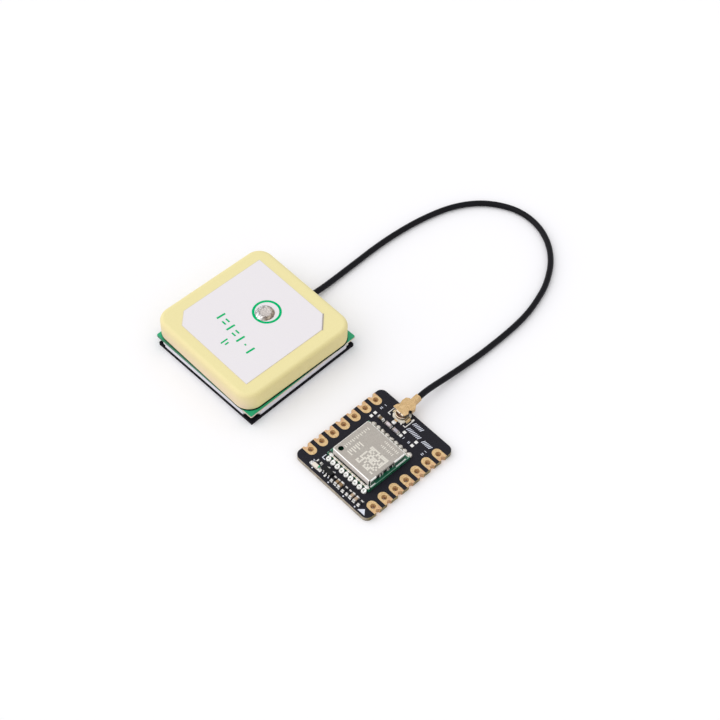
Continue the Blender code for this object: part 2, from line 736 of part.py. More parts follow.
def voltage_regulator():
    bm = bmesh.new()
    low = BOARD_TOP + SEAT + REGULATOR_STANDOFF
    top = BOARD_TOP + SEAT + REGULATOR_HEIGHT
    waist = (low + top) / 2
    half_x = REGULATOR_LENGTH / 2
    half_y = REGULATOR_WIDTH / 2
    draft = REGULATOR_DRAFT
    profile = [
        (-half_y + draft, low), (half_y - draft, low), (half_y, waist),
        (half_y - draft, top), (-half_y + draft, top), (-half_y, waist),
    ]
    bar(bm, profile, -half_x, half_x)
    mesh = mesh_of("voltage_regulator", bm)
    chip = place("voltage_regulator", mesh, "package", REGULATOR_X, REGULATOR_Y)

    bm = bmesh.new()
    foot = BOARD_TOP + SEAT
    sheet = REGULATOR_LEAD_SHEET
    inside = half_y - 2 * draft
    for side, steps in ((-1, (-1, 0, 1)), (1, (-1, 1))):
        tip = half_y + REGULATOR_LEAD_REACH
        knee = half_y + REGULATOR_LEAD_REACH * 0.4
        lead = [
            (side * inside, waist),
            (side * inside, waist - sheet),
            (side * (knee - sheet), waist - sheet),
            (side * (knee - sheet), foot),
            (side * tip, foot),
            (side * tip, foot + sheet),
            (side * knee, foot + sheet),
            (side * knee, waist),
        ]
        for step in steps:
            middle = REGULATOR_X + step * REGULATOR_LEAD_PITCH
            shifted = [(REGULATOR_Y + y, z) for y, z in lead]
            bar(bm, shifted, middle - REGULATOR_LEAD_WIDTH / 2, middle + REGULATOR_LEAD_WIDTH / 2)
    combine(chip, cutter("regulator_leads", bm), "UNION")


# Coaxial socket and plug
def socket():
    low = BOARD_TOP + SEAT
    base_top = low + SOCKET_BASE_HEIGHT
    ring = SOCKET_RING / 2
    steps = 20

    bm = bmesh.new()
    prism(bm, rounded_rectangle(SOCKET_BASE, SOCKET_BASE, SOCKET_BASE_ROUND, 3), low, base_top)
    base = place("socket_base", mesh_of("socket_base", bm), "socket_plastic", SOCKET_X, SOCKET_Y)
    bm = bmesh.new()
    pin_gap = SOCKET_PIN / 2 + SEAT
    prism(bm, circle(SOCKET_X, SOCKET_Y, pin_gap, 12), low - 1 * mm, base_top + 1 * mm)
    combine(base, cutter("socket_pin_hole", bm), "DIFFERENCE")
    bm = bmesh.new()
    tail = SOCKET_TAIL_WIDTH / 2 + SEAT
    slot = rectangle(SOCKET_X - tail, SOCKET_Y - SOCKET_BASE, SOCKET_X + tail, SOCKET_Y)
    prism(bm, slot, low - 1 * mm, low + SOCKET_TAB_SHEET + SEAT)
    wing = SOCKET_TAB_LENGTH / 2 + SEAT
    tab_top = low + SOCKET_TAB_SHEET + SEAT
    for side in (-1, 1):
        inner = SOCKET_X + side * (ring + SEAT)
        outer = SOCKET_X + side * SOCKET_TAB_SPAN
        low_x, high_x = sorted((inner, outer))
        recess = rectangle(low_x, SOCKET_Y - wing, high_x, SOCKET_Y + wing)
        prism(bm, recess, low - 1 * mm, tab_top)
    combine(base, cutter("socket_base_cuts", bm), "DIFFERENCE")

    # The shell's ring stands on the base and its two tabs come down beside it to the board
    bm = bmesh.new()
    ring_low = base_top + SEAT
    top = BOARD_TOP + SOCKET_RING_TOP
    inner_ring = ring - SOCKET_RING_WALL
    turned(bm, [(inner_ring, ring_low), (ring, ring_low), (ring, top), (inner_ring, top)], steps)
    shell = place("socket_shell", mesh_of("socket_shell", bm), "socket_shell", SOCKET_X, SOCKET_Y)
    bm = bmesh.new()
    half_base = SOCKET_BASE / 2 + SEAT
    sheet = SOCKET_TAB_SHEET
    half_tab = SOCKET_TAB_LENGTH / 2
    half_strap = half_tab * 0.7
    for side in (-1, 1):
        strap = [
            (side * inner_ring, ring_low), (side * inner_ring, ring_low + sheet),
            (side * (half_base + sheet), ring_low + sheet), (side * (half_base + sheet), low + sheet),
            (side * SOCKET_TAB_SPAN / 2, low + sheet), (side * SOCKET_TAB_SPAN / 2, low),
            (side * half_base, low), (side * half_base, ring_low),
        ]
        bar(bm, strap, -half_strap, half_strap)
    quarter = Matrix.Rotation(-math.pi / 2, 4, "Z")
    bmesh.ops.transform(bm, matrix=Matrix.Translation((SOCKET_X, SOCKET_Y, 0)) @ quarter, verts=bm.verts)
    combine(shell, cutter("socket_straps", bm), "UNION")
    bm = bmesh.new()
    prism(bm, circle(SOCKET_X, SOCKET_Y, inner_ring, steps), low, top + 1 * mm)
    combine(shell, cutter("socket_bore", bm), "DIFFERENCE")

    bm = bmesh.new()
    pin = SOCKET_PIN / 2
    tip = SOCKET_PIN / 5
    pin_top = BOARD_TOP + SOCKET_PIN_TOP
    turned(bm, [(0, low), (pin, low), (pin, pin_top - tip), (pin - tip, pin_top), (0, pin_top)], 12)
    contact = place("socket_pin", mesh_of("socket_pin", bm), "contact_gold", SOCKET_X, SOCKET_Y)
    bm = bmesh.new()
    half_tail = SOCKET_TAIL_WIDTH / 2
    tail = rectangle(
        SOCKET_X - half_tail, SOCKET_Y - SOCKET_TAIL_REACH, SOCKET_X + half_tail, SOCKET_Y
    )
    prism(bm, tail, low, low + SOCKET_TAB_SHEET)
    combine(contact, cutter("socket_tail", bm), "UNION")


def barrel_outline():
    """Right half of the plug's wrapped barrel seen from above, from the waist to the shoulders."""
    tail = CABLE_DIAMETER / 2 + PLUG_TAIL_WALL
    shoulder = tail + 0.55 * (PLUG_BARREL_HALF_WIDTH - tail)
    return [
        (PLUG_WAIST_HALF_WIDTH, PLUG_WAIST_END),
        (PLUG_BARREL_HALF_WIDTH, PLUG_WAIST_END),
        (PLUG_BARREL_HALF_WIDTH, PLUG_SHOULDER),
        (shoulder, (PLUG_SHOULDER + PLUG_BARREL_END) / 2),
        (tail, PLUG_BARREL_END),
    ]


def plug_outline():
    """Right half of the plug's flat top: broad front, waist, barrel and the strip over the tail."""
    corner = PLUG_CORNER
    front = arc(PLUG_HALF_WIDTH - corner, corner - PLUG_FRONT, corner, 270, 360, 2)
    waist = [(PLUG_HALF_WIDTH, PLUG_WAIST_START), (PLUG_WAIST_HALF_WIDTH, PLUG_WAIST_START)]
    strip = PLUG_STRIP_HALF_WIDTH
    return front + waist + barrel_outline() + [(strip, PLUG_BARREL_END), (strip, PLUG_TAIL_END)]


def both_halves(half):
    return half + [(-x, y) for x, y in reversed(half)]


def plug(holder):
    top = PLUG_HIGH
    plate_low = top - PLUG_SHEET
    skirt = SOCKET_RING / 2 + SLIP
    steps = 20

    bm = bmesh.new()
    prism(bm, both_halves(plug_outline()), plate_low, top)
    shell = place("plug_shell", mesh_of("plug_shell", bm), "contact_gold", parent=holder)

    bm = bmesh.new()
    wall = PLUG_SKIRT_WALL
    low = top - PLUG_SKIRT_DEPTH
    join = plate_low + PLUG_SHEET / 2
    turned(bm, [(skirt, low), (skirt + wall, low), (skirt + wall, join), (skirt, join)], steps)
    combine(shell, cutter("plug_skirt", bm, holder), "UNION")

    bm = bmesh.new()
    prism(bm, both_halves(barrel_outline()), top - PLUG_BARREL_DEPTH, join)
    combine(shell, cutter("plug_barrel", bm, holder), "UNION")

    bm = bmesh.new()
    cable = CABLE_DIAMETER / 2
    tube(bm, cable + PLUG_TAIL_WALL, CABLE_AT_PLUG, PLUG_SHOULDER, PLUG_TAIL_END)
    combine(shell, cutter("plug_tail", bm, holder), "UNION")

    # The tail's bore, the hollow under the barrel, the skirt's slot and the two front dimples
    bm = bmesh.new()
    tube(bm, cable + SLIP, CABLE_AT_PLUG, PLUG_WAIST_START, PLUG_TAIL_END + 1 * mm)
    combine(shell, cutter("plug_bore", bm, holder), "DIFFERENCE")

    bm = bmesh.new()
    hollow = PLUG_BARREL_HALF_WIDTH - PLUG_SHEET
    under = rectangle(-hollow, PLUG_WAIST_START, hollow, PLUG_SHOULDER)
    prism(bm, under, BOARD_TOP - 1 * mm, plate_low)
    slot = PLUG_SKIRT_SLOT / 2
    prism(bm, rectangle(-slot, -2 * skirt, slot, -skirt / 2), BOARD_TOP, plate_low - PLUG_SHEET)
    for side in (-1, 1):
        dimple = circle(side * PLUG_DIMPLE_SPACING / 2, -PLUG_FRONT, PLUG_DIMPLE / 2, 10)
        prism(bm, dimple, plate_low + PLUG_SHEET * 0.2, top + 1 * mm)
    combine(shell, cutter("plug_hollows", bm, holder), "DIFFERENCE")

    bm = bmesh.new()
    outer = SOCKET_RING / 2 - SOCKET_RING_WALL - SLIP
    contact = SOCKET_PIN / 2 + SEAT + CONTACT_WALL
    bush_top = plate_low - SEAT
    bush_low = bush_top - PLUG_BUSH_HEIGHT
    inner = contact + SEAT
    turned(bm, [(inner, bush_low), (outer, bush_low), (outer, bush_top), (inner, bush_top)], steps)
    place("plug_insulator", mesh_of("plug_insulator", bm), "plug_plastic", parent=holder)

    bm = bmesh.new()
    sleeve = SOCKET_PIN / 2 + SEAT
    cap = bush_top - CONTACT_WALL
    foot = bush_top - CONTACT_DEPTH
    turned(
        bm,
        [(sleeve, foot), (contact, foot), (contact, bush_top), (0, bush_top), (0, cap), (sleeve, cap)],
        12,
    )
    place("plug_contact", mesh_of("plug_contact", bm), "contact_gold", parent=holder)


# Cable
def spline_points(knots, count):
    """Evenly spaced points on the smooth curve through the route's own points."""
    knots = [2 * knots[0] - knots[1]] + knots + [2 * knots[-1] - knots[-2]]
    fine = []
    for before, start, end, after in zip(knots, knots[1:], knots[2:], knots[3:]):
        for step in range(24):
            t = step / 24
            bend = 2 * before - 5 * start + 4 * end - after
            twist = 3 * start - 3 * end + after - before
            fine.append((2 * start + t * (end - before) + t * t * bend + t ** 3 * twist) / 2)
    fine.append(knots[-2])
    travelled = [0.0]
    for one, other in zip(fine, fine[1:]):
        travelled.append(travelled[-1] + (other - one).length)
    points = []
    index = 0
    for number in range(count):
        wanted = travelled[-1] * number / (count - 1)
        while index < len(fine) - 2 and travelled[index + 1] < wanted:
            index += 1
        share = (wanted - travelled[index]) / (travelled[index + 1] - travelled[index])
        points.append(fine[index].lerp(fine[index + 1], share))
    return points


def antenna_cable():
    curve = bpy.data.curves.new("antenna_cable", "CURVE")
    curve.dimensions = "3D"
    curve.bevel_depth = CABLE_DIAMETER / 2
    curve.bevel_resolution = CABLE_SIDE_RINGS
    curve.use_fill_caps = True
    line = curve.splines.new("POLY")
    socket_at = Vector((SOCKET_X, SOCKET_Y, 0))
    route = [Vector(point) * mm for point in CABLE_ROUTE]
    route += [socket_at + Vector(point) * mm for point in CABLE_TO_PLUG]
    points = spline_points(route, CABLE_POINTS)
    line.points.add(len(points) - 1)
    for corner, point in zip(line.points, points):
        corner.co = (*point, 1)
    line.use_smooth = True
    curve.materials.append(look("cable_jacket"))
    bpy.context.scene.collection.objects.link(bpy.data.objects.new("antenna_cable", curve))


def cable_end():
    """The stripped end inside the antenna: tinned braid, then the centre conductor."""
    start = Vector(CABLE_ROUTE[0]) * mm
    inward = (start - Vector(CABLE_ROUTE[1]) * mm).normalized()
    inward.z = 0
    turn = math.atan2(inward.y, inward.x)
    reach = SEAT
    for name, diameter, length, finish in (
        ("cable_braid", BRAID_DIAMETER, BRAID_LENGTH, "tinned_braid"),
        ("cable_conductor", CORE_DIAMETER, CORE_LENGTH, "contact_gold"),
    ):
        bm = bmesh.new()
        prism(bm, circle(0, 0, diameter / 2, 10), reach, reach + length)
        bmesh.ops.rotate(bm, verts=bm.verts, cent=(0, 0, 0), matrix=Matrix.Rotation(math.pi / 2, 3, "Y"))
        bmesh.ops.translate(bm, verts=bm.verts, vec=(0, 0, start.z))
        place(name, mesh_of(name, bm), finish, start.x, start.y, turn=turn)
        reach += length + SEAT


# Antenna
def feed_hole(name, x, y, low, high, parent=None):
    bm = bmesh.new()
    prism(bm, circle(x, y, FEED_SHAFT / 2 + SLIP, 12), low - 1 * mm, high + 1 * mm)
    return cutter(name, bm, parent)


def ceramic_block():
    bm = bmesh.new()
    prism(bm, rounded_rectangle(CERAMIC_SIDE, CERAMIC_SIDE, CERAMIC_CORNER, 6), CERAMIC_LOW, CERAMIC_TOP)
    soften(bm, top_edges(bm, CERAMIC_TOP), CERAMIC_EDGE, 3)
    block = place("ceramic_block", mesh_of("ceramic_block", bm), "ceramic", ANTENNA_X, ANTENNA_Y)
    hole = feed_hole("ceramic_hole", ANTENNA_X + FEED_X, ANTENNA_Y + FEED_Y, CERAMIC_LOW, CERAMIC_TOP)
    combine(block, hole, "DIFFERENCE")


def patch_electrode():
    """The printed square, trimmed at two opposite corners to tune it."""
    bm = bmesh.new()
    x, y = ELECTRODE_WIDTH / 2, ELECTRODE_LENGTH / 2
    near, far = ELECTRODE_TRIM_NEAR, ELECTRODE_TRIM_FAR
    outline = [(near - x, -y), (x, -y), (x, y - far), (x - far, y), (-x, y), (-x, near - y)]
    prism(bm, outline, ELECTRODE_LOW, ELECTRODE_TOP)
    mesh = mesh_of("patch_electrode", bm)
    patch = place("patch_electrode", mesh, "silver_print", ELECTRODE_X, ELECTRODE_Y)
    hole = feed_hole("patch_hole", ANTENNA_X + FEED_X, ANTENNA_Y + FEED_Y, ELECTRODE_LOW, ELECTRODE_TOP)
    combine(patch, hole, "DIFFERENCE")


def ground_electrode():
    bm = bmesh.new()
    side = CERAMIC_SIDE - 2 * GROUND_INSET
    outline = rounded_rectangle(side, side, CERAMIC_CORNER - GROUND_INSET, 5)
    prism(bm, outline, GROUND_LOW, GROUND_LOW + GROUND_THICKNESS)
    mesh = mesh_of("ground_electrode", bm)
    sheet = place("ground_electrode", mesh, "silver_print", ANTENNA_X, ANTENNA_Y)
    hole = feed_hole("ground_hole", ANTENNA_X + FEED_X, ANTENNA_Y + FEED_Y, GROUND_LOW, CERAMIC_LOW)
    combine(sheet, hole, "DIFFERENCE")


def feed_pin():
    """The pin through the ceramic, with its solder head on the patch."""
    shaft = FEED_SHAFT / 2
    head = FEED_HEAD / 2
    under = ELECTRODE_TOP + SEAT
    low = BASE_BOARD_LOW - FEED_TAIL
    crown = [
        (head * math.cos(math.radians(angle)), under + FEED_HEAD_HEIGHT * math.sin(math.radians(angle)))
        for angle in (12, 32, 55)
    ]
    profile = [(0, low), (shaft, low), (shaft, under), (head, under)] + crown
    profile += [(head * 0.28, under + FEED_HEAD_HEIGHT), (0, under + FEED_HEAD_HEIGHT)]
    bm = bmesh.new()
    turned(bm, profile, 24)
    place("feed_pin", mesh_of("feed_pin", bm), "solder", ANTENNA_X + FEED_X, ANTENNA_Y + FEED_Y)


def antenna_board(holder):
    bm = bmesh.new()
    outline = rounded_rectangle(BASE_BOARD_WIDTH, BASE_BOARD_LENGTH, BASE_BOARD_CORNER, 2)
    prism(bm, outline, BASE_BOARD_LOW, BASE_BOARD_TOP)
    board = place("antenna_board", mesh_of("antenna_board", bm), "antenna_mask", parent=holder)
    hole = feed_hole("base_hole", ANTENNA_X + FEED_X, ANTENNA_Y + FEED_Y, BASE_BOARD_LOW, BASE_BOARD_TOP)
    combine(board, hole, "DIFFERENCE")


def antenna_shield(holder):
    can = folded_can(
        "antenna_shield", "shield_metal", SHIELD_WIDTH, SHIELD_LENGTH, SHIELD_HEIGHT, SHIELD_SHEET,
        SHIELD_BEND, SHIELD_SLIT, False, z=SHIELD_LOW, parent=holder,
    )
    bm = bmesh.new()
    far = SHIELD_LENGTH / 2
    notch = rectangle(
        SHIELD_NOTCH_X - SHIELD_NOTCH_WIDTH / 2, far - SHIELD_NOTCH_REACH,
        SHIELD_NOTCH_X + SHIELD_NOTCH_WIDTH / 2, far + 1 * mm,
    )
    prism(bm, notch, SHIELD_LOW - 1 * mm, SHIELD_LOW + SHIELD_HEIGHT + 1 * mm)
    combine(can, cutter("cable_notch", bm, holder), "DIFFERENCE")


def foam_pad(holder):
    bm = bmesh.new()
    prism(bm, rounded_rectangle(FOAM_WIDTH, FOAM_LENGTH, FOAM_CORNER, 2), 0, FOAM_THICKNESS)
    place("foam_pad", mesh_of("foam_pad", bm), "foam", FOAM_SHIFT, parent=holder)


def main():
    clear_scene()
    carrier_board()
    edge_pads()
    module_board()
    module_shield()
    for name, spot in MODULE_INNER.items():
        inner_part(name, spot, LID_X, LID_Y, MODULE_TOP + SEAT)
    for name, spot in NEAR_PARTS.items():
        chip_part(name, spot, -BOARD_LENGTH / 2)
    for name, spot in FAR_PARTS.items():
        chip_part(name, spot, SOCKET_Y)
    indicator_led()
    voltage_regulator()
    socket()
    plug(frame_at("plug_frame", SOCKET_X, SOCKET_Y, PLUG_TURN))
    antenna_cable()
    cable_end()
    ceramic_block()
    patch_electrode()
    ground_electrode()
    feed_pin()
    base = frame_at("antenna_base_frame", BASE_X, BASE_Y, BASE_TURN)
    antenna_board(base)
    antenna_shield(base)
    foam_pad(base)
    for name, spot in BASE_INNER.items():
        inner_part(name, spot, 0, 0, BASE_BOARD_LOW - SEAT, hangs=True, parent=base)


main()
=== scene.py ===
import math
import random

import bmesh
import bpy
from mathutils import Matrix, Vector, noise


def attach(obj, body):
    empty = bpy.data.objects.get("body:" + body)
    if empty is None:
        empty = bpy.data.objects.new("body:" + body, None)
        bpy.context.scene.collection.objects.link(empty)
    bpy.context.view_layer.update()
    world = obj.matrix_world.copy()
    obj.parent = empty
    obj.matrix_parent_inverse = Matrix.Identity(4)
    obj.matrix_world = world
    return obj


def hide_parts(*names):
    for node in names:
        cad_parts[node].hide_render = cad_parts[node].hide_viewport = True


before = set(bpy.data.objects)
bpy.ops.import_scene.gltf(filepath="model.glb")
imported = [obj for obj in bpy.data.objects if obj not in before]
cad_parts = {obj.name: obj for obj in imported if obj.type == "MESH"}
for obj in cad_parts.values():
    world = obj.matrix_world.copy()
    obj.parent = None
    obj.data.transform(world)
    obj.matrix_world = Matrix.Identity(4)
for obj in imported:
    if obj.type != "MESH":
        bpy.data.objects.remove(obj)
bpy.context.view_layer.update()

mm = 0.001
perMetre = 1 / mm


def linked(name, data):
    made = bpy.data.objects.new(name, data)
    bpy.context.scene.collection.objects.link(made)
    return made


# Camera, at the photo's own angle
view = {
    "place": (96.845, -103.953, 215.344),
    "right": (0.68825, 0.72488, 0.02922),
    "up": (-0.59181, 0.53770, 0.60053),
    "lens": 75.946,
    "sensor": 36.0,
}


def addCamera():
    data = bpy.data.cameras.new("camera")
    data.lens = view["lens"]
    data.sensor_width = view["sensor"]
    data.clip_start = 10 * mm
    data.clip_end = 20.0
    right = Vector(view["right"])
    up = Vector(view["up"])
    turn = Matrix((right, up, right.cross(up))).transposed().to_4x4()
    camera = linked("camera", data)
    camera.matrix_world = Matrix.Translation(Vector(view["place"]) * mm) @ turn
    bpy.context.scene.camera = camera


addCamera()
print("camera is set")


# Node helpers
def srgb(red, green, blue):
    channels = []
    for channel in (red, green, blue):
        value = channel / 255
        channels.append(value / 12.92 if value <= 0.04045 else ((value + 0.055) / 1.055) ** 2.4)
    return (*channels, 1.0)


def wire(tree, socket, value):
    if isinstance(value, bpy.types.NodeSocket):
        tree.links.new(value, socket)
    else:
        socket.default_value = value


def node(tree, kind, inputs=None, **settings):
    made = tree.nodes.new("ShaderNode" + kind)
    for name, value in settings.items():
        setattr(made, name, value)
    for name, value in (inputs or {}).items():
        wire(tree, made.inputs[name], value)
    return made


def maths(tree, operation, first, second=0.0):
    made = node(tree, "Math", operation=operation)
    wire(tree, made.inputs[0], first)
    wire(tree, made.inputs[1], second)
    return made.outputs[0]


def times(tree, first, second):
    return maths(tree, "MULTIPLY", first, second)


def plus(tree, first, second):
    return maths(tree, "ADD", first, second)


def minus(tree, first, second):
    return maths(tree, "SUBTRACT", first, second)


def unsigned(tree, value):
    return maths(tree, "ABSOLUTE", value)


def distance(tree, across, along):
    squares = maths(tree, "POWER", across, 2.0), maths(tree, "POWER", along, 2.0)
    return maths(tree, "SQRT", plus(tree, *squares))


def blendColour(tree, mask, first, second):
    made = node(tree, "Mix", data_type="RGBA")
    wire(tree, made.inputs[0], mask)
    wire(tree, made.inputs[6], first)
    wire(tree, made.inputs[7], second)
    return made.outputs[2]


def between(tree, value, low, high, toLow=0.0, toHigh=1.0):
    made = node(tree, "MapRange")
    ends = {"Value": value, "From Min": low, "From Max": high, "To Min": toLow, "To Max": toHigh}
    for name, end in ends.items():
        wire(tree, made.inputs[name], end)
    return made.outputs["Result"]


def aboutHalf(tree, value, spread, toLow=0.0, toHigh=1.0):
    low = minus(tree, 0.5, spread)
    high = plus(tree, 0.5, spread)
    return between(tree, value, low, high, toLow, toHigh)


def objectPlace(tree):
    return node(tree, "TexCoord").outputs["Object"]


def objectAxes(tree):
    return node(tree, "SeparateXYZ", {"Vector": objectPlace(tree)}).outputs


def normalAxes(tree):
    facing = node(tree, "NewGeometry").outputs["Normal"]
    return node(tree, "SeparateXYZ", {"Vector": facing}).outputs


def offMiddle(tree, value, middle):
    # how far a place is from a middle that is given in millimetres
    return unsigned(tree, minus(tree, value, middle * mm))


def newGroup(name, given, results):
    tree = bpy.data.node_groups.new(name, "ShaderNodeTree")
    for label, value in given.items():
        socket = tree.interface.new_socket(label, in_out="INPUT", socket_type="NodeSocketFloat")
        socket.default_value = value
    for label in results:
        tree.interface.new_socket(label, in_out="OUTPUT", socket_type="NodeSocketFloat")
    ends = tree.nodes.new("NodeGroupInput").outputs, tree.nodes.new("NodeGroupOutput").inputs
    return (tree, *ends)


# Effects that several finishes share. Sizes are in millimetres
def buildSpeckle():
    tree, given, result = newGroup("speckle", {"Size": 0.2, "Spread": 0.15, "Seed": 0.0}, ("Mask",))
    perSize = maths(tree, "DIVIDE", perMetre, given["Size"])
    grain = node(tree, "TexNoise", {
        "Vector": objectPlace(tree), "W": given["Seed"], "Scale": perSize,
        "Detail": 3.0, "Roughness": 0.6,
    }, noise_dimensions="4D")
    wire(tree, result["Mask"], aboutHalf(tree, grain.outputs["Fac"], given["Spread"]))
    return tree


def buildStreaks():
    # noise drawn out along one axis: rolled sheet, scratches, layers in a cut edge
    given = {"Size X": 1.0, "Size Y": 0.05, "Size Z": 1.0, "Spread": 0.15}
    tree, given, result = newGroup("streaks", given, ("Mask",))
    where = objectAxes(tree)
    drawn = node(tree, "CombineXYZ")
    for axis in "XYZ":
        perSize = maths(tree, "DIVIDE", perMetre, given["Size " + axis])
        wire(tree, drawn.inputs[axis], times(tree, where[axis], perSize))
    grain = node(tree, "TexNoise", {"Vector": drawn.outputs[0], "Scale": 1.0, "Detail": 2.0})
    wire(tree, result["Mask"], aboutHalf(tree, grain.outputs["Fac"], given["Spread"]))
    return tree


def buildSideways():
    # 1 on upright faces, 0 on level ones
    tree, given, result = newGroup("sideways", {"Softness": 0.2}, ("Mask",))
    level = unsigned(tree, normalAxes(tree)["Z"])
    wire(tree, result["Mask"], aboutHalf(tree, level, given["Softness"], 1.0, 0.0))
    return tree


def buildEdgeTurn():
    # 1 where the surface turns within the radius, 0 on flat faces
    tree, given, result = newGroup("edgeTurn", {"Radius": 0.06, "Spread": 0.3}, ("Mask",))
    rounded = node(tree, "Bevel", {"Radius": times(tree, given["Radius"], mm)}, samples=6)
    turn = node(tree, "VectorMath", operation="DOT_PRODUCT")
    wire(tree, turn.inputs[0], rounded.outputs["Normal"])
    wire(tree, turn.inputs[1], node(tree, "NewGeometry").outputs["Normal"])
    away = minus(tree, 1.0, turn.outputs["Value"])
    wire(tree, result["Mask"], between(tree, away, 0.02, given["Spread"]))
    return tree


def buildWeave():
    # glass cloth under the mask: two sets of crossing threads
    tree, given, result = newGroup("weave", {"Pitch": 0.45, "Depth": 1.0}, ("Height",))
    where = objectAxes(tree)
    turns = maths(tree, "DIVIDE", perMetre * math.pi, given["Pitch"])
    across = maths(tree, "SINE", times(tree, where["X"], turns))
    along = maths(tree, "SINE", times(tree, where["Y"], turns))
    wire(tree, result["Height"], times(tree, times(tree, across, along), given["Depth"]))
    return tree


effects = {
    "speckle": buildSpeckle(),
    "streaks": buildStreaks(),
    "sideways": buildSideways(),
    "edgeTurn": buildEdgeTurn(),
    "weave": buildWeave(),
}


def effect(tree, name, output="Mask", **given):
    made = tree.nodes.new("ShaderNodeGroup")
    made.node_tree = effects[name]
    for label, value in given.items():
        wire(tree, made.inputs[label.replace("_", " ")], value)
    return made.outputs[output]


looks = {}


def newLook(
    name, colour, shade, grain, patch, rough, spread=0.2, bump=0.2, metal=0.0, specular=0.5,
    stain=None, stainAmount=0.5, edgeHighlight=None, edgeHighlightRadius=0.06, edgeHighlightAmount=0.8,
):
    # every finish starts as two mottled colours, uneven gloss and a fine bump
    material = bpy.data.materials.new(name)
    material.use_nodes = True
    tree = material.node_tree
    shader = tree.nodes["Principled BSDF"]
    fine = effect(tree, "speckle", Size=grain, Spread=spread)
    broad = effect(tree, "speckle", Size=patch, Spread=0.2, Seed=4.0)
    mottled = blendColour(tree, fine, srgb(*shade), srgb(*colour))
    if stain:
        mottled = blendColour(tree, times(tree, broad, stainAmount), mottled, srgb(*stain))
    # an optional painted highlight: a pale colour painted along the edges
    if edgeHighlight:
        worn = times(tree, effect(tree, "edgeTurn", Radius=edgeHighlightRadius), edgeHighlightAmount)
        mottled = blendColour(tree, worn, mottled, srgb(*edgeHighlight))
    wire(tree, shader.inputs["Base Color"], mottled)
    wire(tree, shader.inputs["Roughness"], between(tree, broad, 0.0, 1.0, *rough))
    shader.inputs["Metallic"].default_value = metal
    shader.inputs["Specular IOR Level"].default_value = specular
    relief = node(tree, "Bump", {"Height": fine, "Strength": bump, "Distance": grain * 0.3 * mm})
    wire(tree, shader.inputs["Normal"], relief.outputs["Normal"])
    looks[name] = material
    return tree, shader, mottled, fine, relief


# Mesh helpers. Sizes are given in millimetres, the meshes are in metres
def bevel(bm, edges, width, steps):
    bmesh.ops.bevel(
        bm, geom=edges, offset=width * mm, offset_type="OFFSET", affect="EDGES",
        segments=steps, profile=0.5, material=-1,
    )


def levelEdges(bm, height):
    level = []
    for edge in bm.edges:
        if all(abs(corner.co.z - height * mm) < 0.001 * mm for corner in edge.verts):
            level.append(edge)
    return level


def uprightEdges(bm):
    upright = []
    for edge in bm.edges:
        run = edge.verts[1].co - edge.verts[0].co
        if abs(run.z) > 0.001 * mm and run.xy.length < 0.001 * mm:
            upright.append(edge)
    return upright


def block(size, x=0.0, y=0.0, low=0.0, corner=0.0, cornerSteps=5, rim=0.0, rimSteps=3, foot=0.0):
    bm = bmesh.new()
    bmesh.ops.create_cube(bm, size=1.0)
    bmesh.ops.scale(bm, verts=bm.verts, vec=Vector(size) * mm)
    bmesh.ops.translate(bm, verts=bm.verts, vec=Vector((x, y, low + size[2] / 2)) * mm)
    if corner:
        bevel(bm, uprightEdges(bm), corner, cornerSteps)
    if rim:
        bevel(bm, levelEdges(bm, low + size[2]), rim, rimSteps)
    if foot:
        bevel(bm, levelEdges(bm, low), foot, rimSteps)
    return bm


def vertsOf(geometry):
    return [part for part in geometry if isinstance(part, bmesh.types.BMVert)]


def raised(bm, faces, move):
    corners = vertsOf(bmesh.ops.extrude_face_region(bm, geom=faces)["geom"])
    bmesh.ops.translate(bm, verts=corners, vec=Vector(move) * mm)


def plate(outline, low, high):
    bm = bmesh.new()
    base = bm.faces.new([bm.verts.new((x * mm, y * mm, low * mm)) for x, y in outline])
    raised(bm, [base], (0, 0, high - low))
    return bm


def bar(profile, start, end):
    # a profile of (y, z) points drawn out along x
    bm = bmesh.new()
    base = bm.faces.new([bm.verts.new((start * mm, y * mm, z * mm)) for y, z in profile])
    raised(bm, [base], (end - start, 0, 0))
    return bm


def disc(radius, low, high, x=0.0, y=0.0, steps=24):
    bm = bmesh.new()
    bmesh.ops.create_circle(bm, cap_ends=True, radius=radius * mm, segments=steps)
    bmesh.ops.translate(bm, verts=bm.verts, vec=Vector((x, y, low)) * mm)
    raised(bm, list(bm.faces), (0, 0, high - low))
    return bm


def turned(profile, steps, x=0.0, y=0.0):
    # a closed profile of (radius, height) points spun about an upright axis
    bm = bmesh.new()
    corners = [bm.verts.new(((x + radius) * mm, y * mm, height * mm)) for radius, height in profile]
    edges = [bm.edges.new(pair) for pair in zip(corners, corners[1:] + corners[:1])]
    bmesh.ops.spin(
        bm, geom=corners + edges, cent=(x * mm, y * mm, 0), axis=(0, 0, 1),
        angle=math.tau, steps=steps, use_merge=True,
    )
    bmesh.ops.remove_doubles(bm, verts=bm.verts, dist=0.0005 * mm)
    bmesh.ops.delete(bm, geom=[edge for edge in bm.edges if not edge.link_faces], context="EDGES")
    return bm


def tube(inside, outside, low, high, steps, x=0.0, y=0.0):
    return turned([(inside, low), (outside, low), (outside, high), (inside, high)], steps, x, y)


def halved(bm, place, normal):
    # what lies beyond the plane is cut away and the cut is closed
    geometry = list(bm.verts) + list(bm.edges) + list(bm.faces)
    bmesh.ops.bisect_plane(bm, geom=geometry, plane_co=place, plane_no=normal, clear_outer=True)
    bmesh.ops.holes_fill(bm, edges=[edge for edge in bm.edges if edge.is_boundary])
    return bm


def pipe(radius, height, start, end, steps=24, rim=0.0):
    # a round bar along y
    bm = disc(radius, 0, end - start, steps=steps)
    if rim:
        bevel(bm, levelEdges(bm, 0) + levelEdges(bm, end - start), rim, 3)
    bmesh.ops.rotate(bm, verts=bm.verts, cent=(0, 0, 0), matrix=Matrix.Rotation(-math.pi / 2, 3, "X"))
    bmesh.ops.translate(bm, verts=bm.verts, vec=Vector((0, start, height)) * mm)
    return bm


